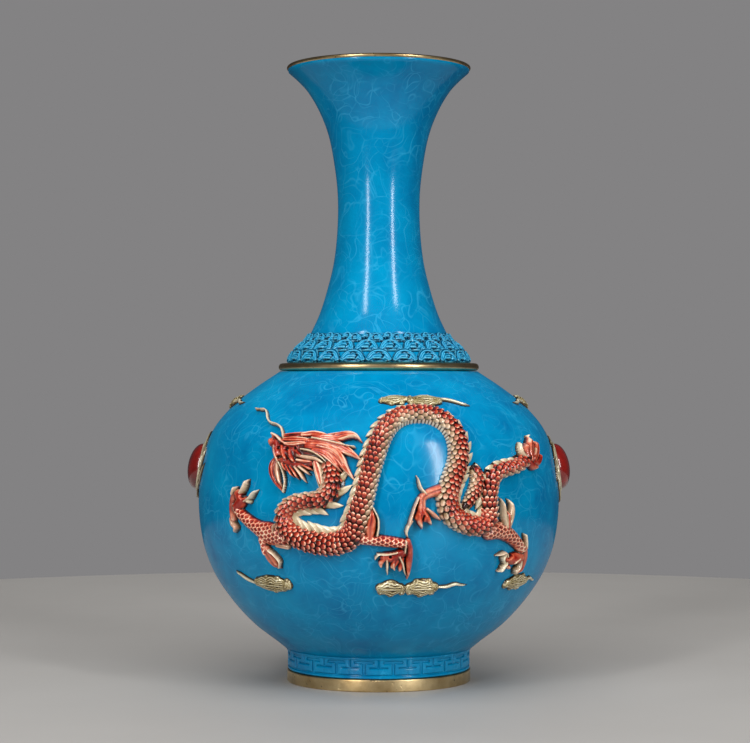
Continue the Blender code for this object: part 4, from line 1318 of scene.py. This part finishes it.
def top_cloud_strokes():
    """Long flat cloud over the arch, with a short stem and a wavy tail."""
    return [
        puff((3.0, 166.0), (8.8, 166.4), 3.9), puff((14.6, 165.8), (21.4, 165.6), 5.0, 4),
        mark([(17.0, 163.0, 2.4), (18.4, 160.6, 2.0)], 2.4, tone=0.6, grooves=1),
        wisp([(23.4, 166.0), (27.0, 165.6), (30.0, 164.6), (33.4, 163.0), (36.8, 162.6)]),
    ] + knobs([(1.0, 165.4, 1.8), (4.8, 164.3, 1.9), (8.6, 164.5, 1.9), (12.4, 164.8, 2.2),
               (23.4, 165.0, 2.0), (12.2, 167.0, 1.9), (19.4, 167.2, 2.0)])


def centre_cloud_strokes():
    """Two oval clouds side by side under the chest, with a wavy tail."""
    return [
        puff((1.6, 62.0), (5.8, 62.0), 5.3), puff((11.4, 62.0), (16.6, 62.0), 5.8, 4),
        wisp([(19.6, 62.6), (22.4, 62.6), (25.2, 63.9), (27.6, 63.2), (30.4, 62.8)]),
    ] + knobs([(0.6, 60.0, 2.1), (3.8, 58.9, 2.3), (7.4, 59.8, 2.1), (10.0, 59.8, 2.1), (13.6, 58.6, 2.4),
               (17.4, 59.6, 2.2), (3.4, 65.0, 2.1), (12.0, 65.4, 2.1), (16.0, 65.4, 2.2)])


def left_cloud_strokes():
    """Cloud at lower left, its tail running up to -X."""
    return [
        puff((-41.2, 62.9), (-33.0, 62.3), 5.4, 4),
        wisp([(-44.6, 62.8), (-48.2, 64.6), (-51.0, 67.0), (-53.8, 68.8)]),
    ] + knobs([(-31.0, 64.2, 2.3), (-34.4, 65.4, 2.3), (-38.8, 65.6, 2.2), (-36.6, 59.4, 2.2),
               (-33.0, 60.2, 2.0)])


def right_cloud_strokes():
    """Cloud at lower right, with a tail to +X."""
    return [
        puff((49.4, 61.8), (56.0, 62.2), 5.0, 4),
        wisp([(58.4, 63.0), (61.0, 63.6), (63.6, 62.2), (66.4, 62.0)]),
    ] + knobs([(47.2, 60.8, 2.2), (50.6, 59.3, 2.1), (54.4, 59.1, 2.1), (51.0, 64.7, 2.0), (55.6, 65.0, 2.0)])


def side_cloud_strokes():
    """Wide cloud on the shoulder over each pearl, a tail at both ends."""
    return [
        puff((-8.4, 162.6), (-3.2, 163.2), 4.2), puff((3.2, 163.2), (8.4, 162.6), 4.2),
        wisp([(11.0, 162.6), (15.0, 163.6), (19.4, 162.2), (24.0, 163.0)]),
        wisp([(-11.0, 162.6), (-15.0, 163.6), (-19.4, 162.2), (-24.0, 163.0)]),
    ] + knobs([(-6.0, 160.6, 2.0), (0.0, 160.6, 2.3), (6.0, 160.6, 2.0), (0.0, 165.2, 2.2)])


PEARL_HEIGHT = 125.0
PEARL_RADIUS = 13.5
FLAMES = [(-28.0, 27.0), (40.0, 22.0), (105.0, 21.5), (165.0, 23.5), (222.0, 21.5), (275.0, 22.0)]


# One flame's tongues: turn from its start in degrees, share of its reach, width and rise.
FLAME_TONGUES = ((0.0, 1.0, 1.7, 1.5), (24.0, 0.84, 1.3, 1.8), (-16.0, 0.86, 1.2, 1.2))


def flame_strokes():
    """Thin ring round a pearl, with low curved flames that lick outward."""
    per_degree = math.radians(1.0) * BODY_WALL.radius(PEARL_HEIGHT)
    strokes = []
    for start, reach in FLAMES:
        for shift, share, width, rise in FLAME_TONGUES:
            route = []
            for step in range(5):
                turn = math.radians(start + shift + 9.0 * step)
                out = PEARL_RADIUS + (reach * share - PEARL_RADIUS) * step / 4.0
                route.append((out * math.cos(turn) / per_degree, PEARL_HEIGHT + out * math.sin(turn)))
            strokes.append(leaf(route, width, rise, tone=0.8, grooves=1))
    ring = [((PEARL_RADIUS + 0.2) * math.cos(turn) / per_degree,
             PEARL_HEIGHT + (PEARL_RADIUS + 0.2) * math.sin(turn), 0.6)
            for turn in np.linspace(0.0, math.tau, 33)]
    strokes.append(mark(ring, 2.2, tone=1.0))
    return strokes


PEARL_TOP_RISE = 8.3
PEARL_EDGE_RISE = 1.2


def pearl_mesh(name, azimuth):
    """Glossy dome that stands on the wall, a little flattened, closed underneath."""
    rings, around = 24, 64
    profile = []
    for step in range(rings + 1):
        turn = 0.5 * math.pi * step / rings
        lift = (PEARL_TOP_RISE - PEARL_EDGE_RISE) * math.sin(turn) + PEARL_EDGE_RISE
        profile.append((PEARL_RADIUS * math.cos(turn), lift))
    profile[0] = (PEARL_RADIUS, PEARL_EDGE_RISE)
    profile.insert(0, (PEARL_RADIUS * 0.97, -1.0))
    centre = BODY_WALL.points(azimuth, PEARL_HEIGHT, 0.0)
    up = BODY_WALL.normals(azimuth, PEARL_HEIGHT)
    side = np.array([math.cos(math.radians(azimuth)), math.sin(math.radians(azimuth)), 0.0])
    rise = np.cross(up, side)
    points, quads = [], []
    for radius, lift in profile[:-1]:
        for step in range(around):
            turn = math.tau * step / around
            flat = side * radius * math.cos(turn) + rise * radius * math.sin(turn)
            drop = -0.5 * (radius * math.cos(turn)) ** 2 / BODY_WALL.radius(PEARL_HEIGHT)
            points.append(centre + flat + up * (lift + drop * max(0.0, 1.0 - lift / PEARL_TOP_RISE)))
    count = len(profile) - 1
    for ring in range(count - 1):
        for step in range(around):
            beside = (step + 1) % around
            quads.append((ring * around + step, ring * around + beside,
                          (ring + 1) * around + beside, (ring + 1) * around + step))
    top = len(points)
    points.append(centre + up * PEARL_TOP_RISE)
    points.append(centre - up * 1.4)
    for step in range(0, around, 2):
        after, second = (step + 1) % around, (step + 2) % around
        last = (count - 1) * around
        quads.append((last + step, last + after, last + second, top))
        quads.append((second, after, step, top + 1))
    return mesh_of(name, points, quads)


# ---------------------------------------------------------------- the whole vase
def make_castings(lacquer, gold):
    """Head, limbs, tuft and clouds of both dragons."""
    parts = [("dragon_head", head_strokes, "dragon_red", lacquer),
             ("dragon_left_foreleg", left_foreleg_strokes, "dragon_red", lacquer),
             ("dragon_right_foreleg", right_foreleg_strokes, "dragon_red", lacquer),
             ("dragon_left_hindleg", left_hindleg_strokes, "dragon_red", lacquer),
             ("dragon_right_hindleg", right_hindleg_strokes, "dragon_red", lacquer),
             ("dragon_tail_tuft", tail_tuft_strokes, "dragon_red", lacquer),
             ("top_cloud", top_cloud_strokes, "cloud_gold", gold),
             ("centre_cloud", centre_cloud_strokes, "cloud_gold", gold),
             ("left_cloud", left_cloud_strokes, "cloud_gold", gold),
             ("right_cloud", right_cloud_strokes, "cloud_gold", gold)]
    for name, strokes, slot, material in parts:
        mesh = relief(name, strokes(), front=True)
        mesh.materials.append(material)
        for side, turn in (("front", 0.0), ("back", BACK_TURN)):
            node = f"{side}_{name}"
            piece(f"{node}_cast", turned_copy(mesh, node, turn), slot, node)


def make_sides(gold, red):
    """Pearl, flames and shoulder cloud at each side."""
    flames = relief("flames", flame_strokes())
    cloud = relief("shoulder_cloud", side_cloud_strokes())
    pearl = pearl_mesh("pearl", 0.0)
    for mesh, material in ((flames, gold), (cloud, gold), (pearl, red)):
        mesh.materials.append(material)
    for side, turn in (("left", -90.0), ("right", 90.0)):
        piece(f"{side}_flames_cast", turned_copy(flames, f"{side}_flames", turn), "cloud_gold",
              f"{side}_flame_mount")
        piece(f"{side}_shoulder_cloud_cast", turned_copy(cloud, f"{side}_shoulder", turn), "cloud_gold",
              f"{side}_shoulder_cloud")
        piece(f"{side}_pearl_dome", turned_copy(pearl, f"{side}_dome", turn), "pearl_red", f"{side}_pearl")


def make_vase():
    """Every piece of the vase with its finish."""
    patina = patina_finish("turquoise_patina", True)
    brass = brass_finish("toned_brass")
    # Both castings' colours run from painted shade in the hollows to rubbed metal and painted highlight on
    # the ridges.
    lacquer = casting_finish(
        "red_lacquer_wear_and_painted_light",
        (linear(58, 11, 7), linear(164, 34, 18), linear(216, 94, 58), linear(255, 220, 188)),
        (linear(172, 146, 98), linear(246, 234, 204)), 0.12)
    gold = casting_finish(
        "gold_wear_and_painted_light",
        (linear(62, 46, 18), linear(136, 112, 56), linear(204, 186, 124), linear(255, 250, 226)),
        (linear(112, 90, 42), linear(255, 246, 214)), 0.35)
    red = pearl_finish("pearl_red_gloss")
    units, rows = ring_tree(), row_tree()
    make_shells(patina)
    make_brass_rings(brass)
    make_foot(patina, units)
    make_collar(patina, units)
    make_dragon_body(lacquer, rows)
    make_castings(lacquer, gold)
    make_sides(gold, red)


# ---------------------------------------------------------------- stage, light and camera
def make_floor():
    """Plain pale round table top under the vase."""
    reach, sides = 0.72, 96
    turns = [math.tau * step / sides for step in range(sides)]
    mesh = bpy.data.meshes.new("floor")
    mesh.from_pydata([(reach * math.cos(turn), reach * math.sin(turn), 0.0) for turn in turns], [],
                     [tuple(range(sides))])
    mesh.materials.append(ground_finish("pale_floor"))
    floor = new_object("floor", mesh)


def softbox(name, azimuth, elevation, distance, width, height, power, mirrored=True):
    """Soft rectangular light that faces the vase's middle, mirrored in its gloss or not."""
    light = bpy.data.lights.new(name, "AREA")
    light.shape = "RECTANGLE"
    light.size, light.size_y = width, height
    light.energy = power
    item = bpy.data.objects.new(name, light)
    bpy.context.scene.collection.objects.link(item)
    turn, tilt = math.radians(azimuth), math.radians(elevation)
    centre = Vector((0.0, 0.0, 0.2))
    item.location = centre + distance * Vector((math.cos(tilt) * math.sin(turn),
                                                -math.cos(tilt) * math.cos(turn), math.sin(tilt)))
    item.rotation_euler = (centre - item.location).to_track_quat("-Z", "Y").to_euler()
    item.visible_glossy = mirrored


def make_lights():
    """Tall strip at each side of the camera, and wide lights overhead and behind.

    The camera sees a paler backdrop than the grey surround that lights the vase and shows in its gloss.
    """
    softbox("left_strip", -30.0, 20.0, 1.6, 0.16, 1.3, 13.5)
    softbox("right_strip", 38.5, 18.0, 1.6, 0.16, 1.1, 12.5)
    softbox("overhead", 0.0, 62.0, 1.6, 2.0, 1.4, 24.0, mirrored=False)
    softbox("rear_fill", 180.0, 42.0, 1.8, 1.6, 1.0, 9.0, mirrored=False)
    world = bpy.data.worlds.new("studio")
    world.use_nodes = True
    tree = world.node_tree
    backdrop = add_node(tree, "ShaderNodeLightPath", output="Is Camera Ray")
    shown = tree.nodes.new("ShaderNodeMix")
    shown.data_type = "RGBA"
    plug(tree, shown.inputs["Factor"], backdrop)
    plug(tree, shown.inputs[6], linear(58, 58, 60))
    plug(tree, shown.inputs[7], linear(131, 130, 131))
    plug(tree, tree.nodes["Background"].inputs["Color"], Signal(tree, shown.outputs[2]))
    bpy.context.scene.world = world
    bpy.context.scene.view_settings.view_transform = "Standard"


def make_camera():
    """Level camera at the front, framing the whole vase."""
    lens = bpy.data.cameras.new("camera")
    lens.lens = 100.8
    lens.sensor_width = 36.0
    lens.shift_x = -0.005
    lens.shift_y = 0.018
    lens.clip_start = 0.05
    camera = new_camera(lens)
    camera.location = (0.0, -1.235, 0.173)
    camera.rotation_euler = (math.radians(90.0), 0.0, 0.0)
    bpy.context.scene.camera = camera


def new_camera(lens):
    """Camera object in the scene."""
    item = bpy.data.objects.new("camera", lens)
    bpy.context.scene.collection.objects.link(item)
    return item


make_vase()
make_floor()
make_lights()
make_camera()
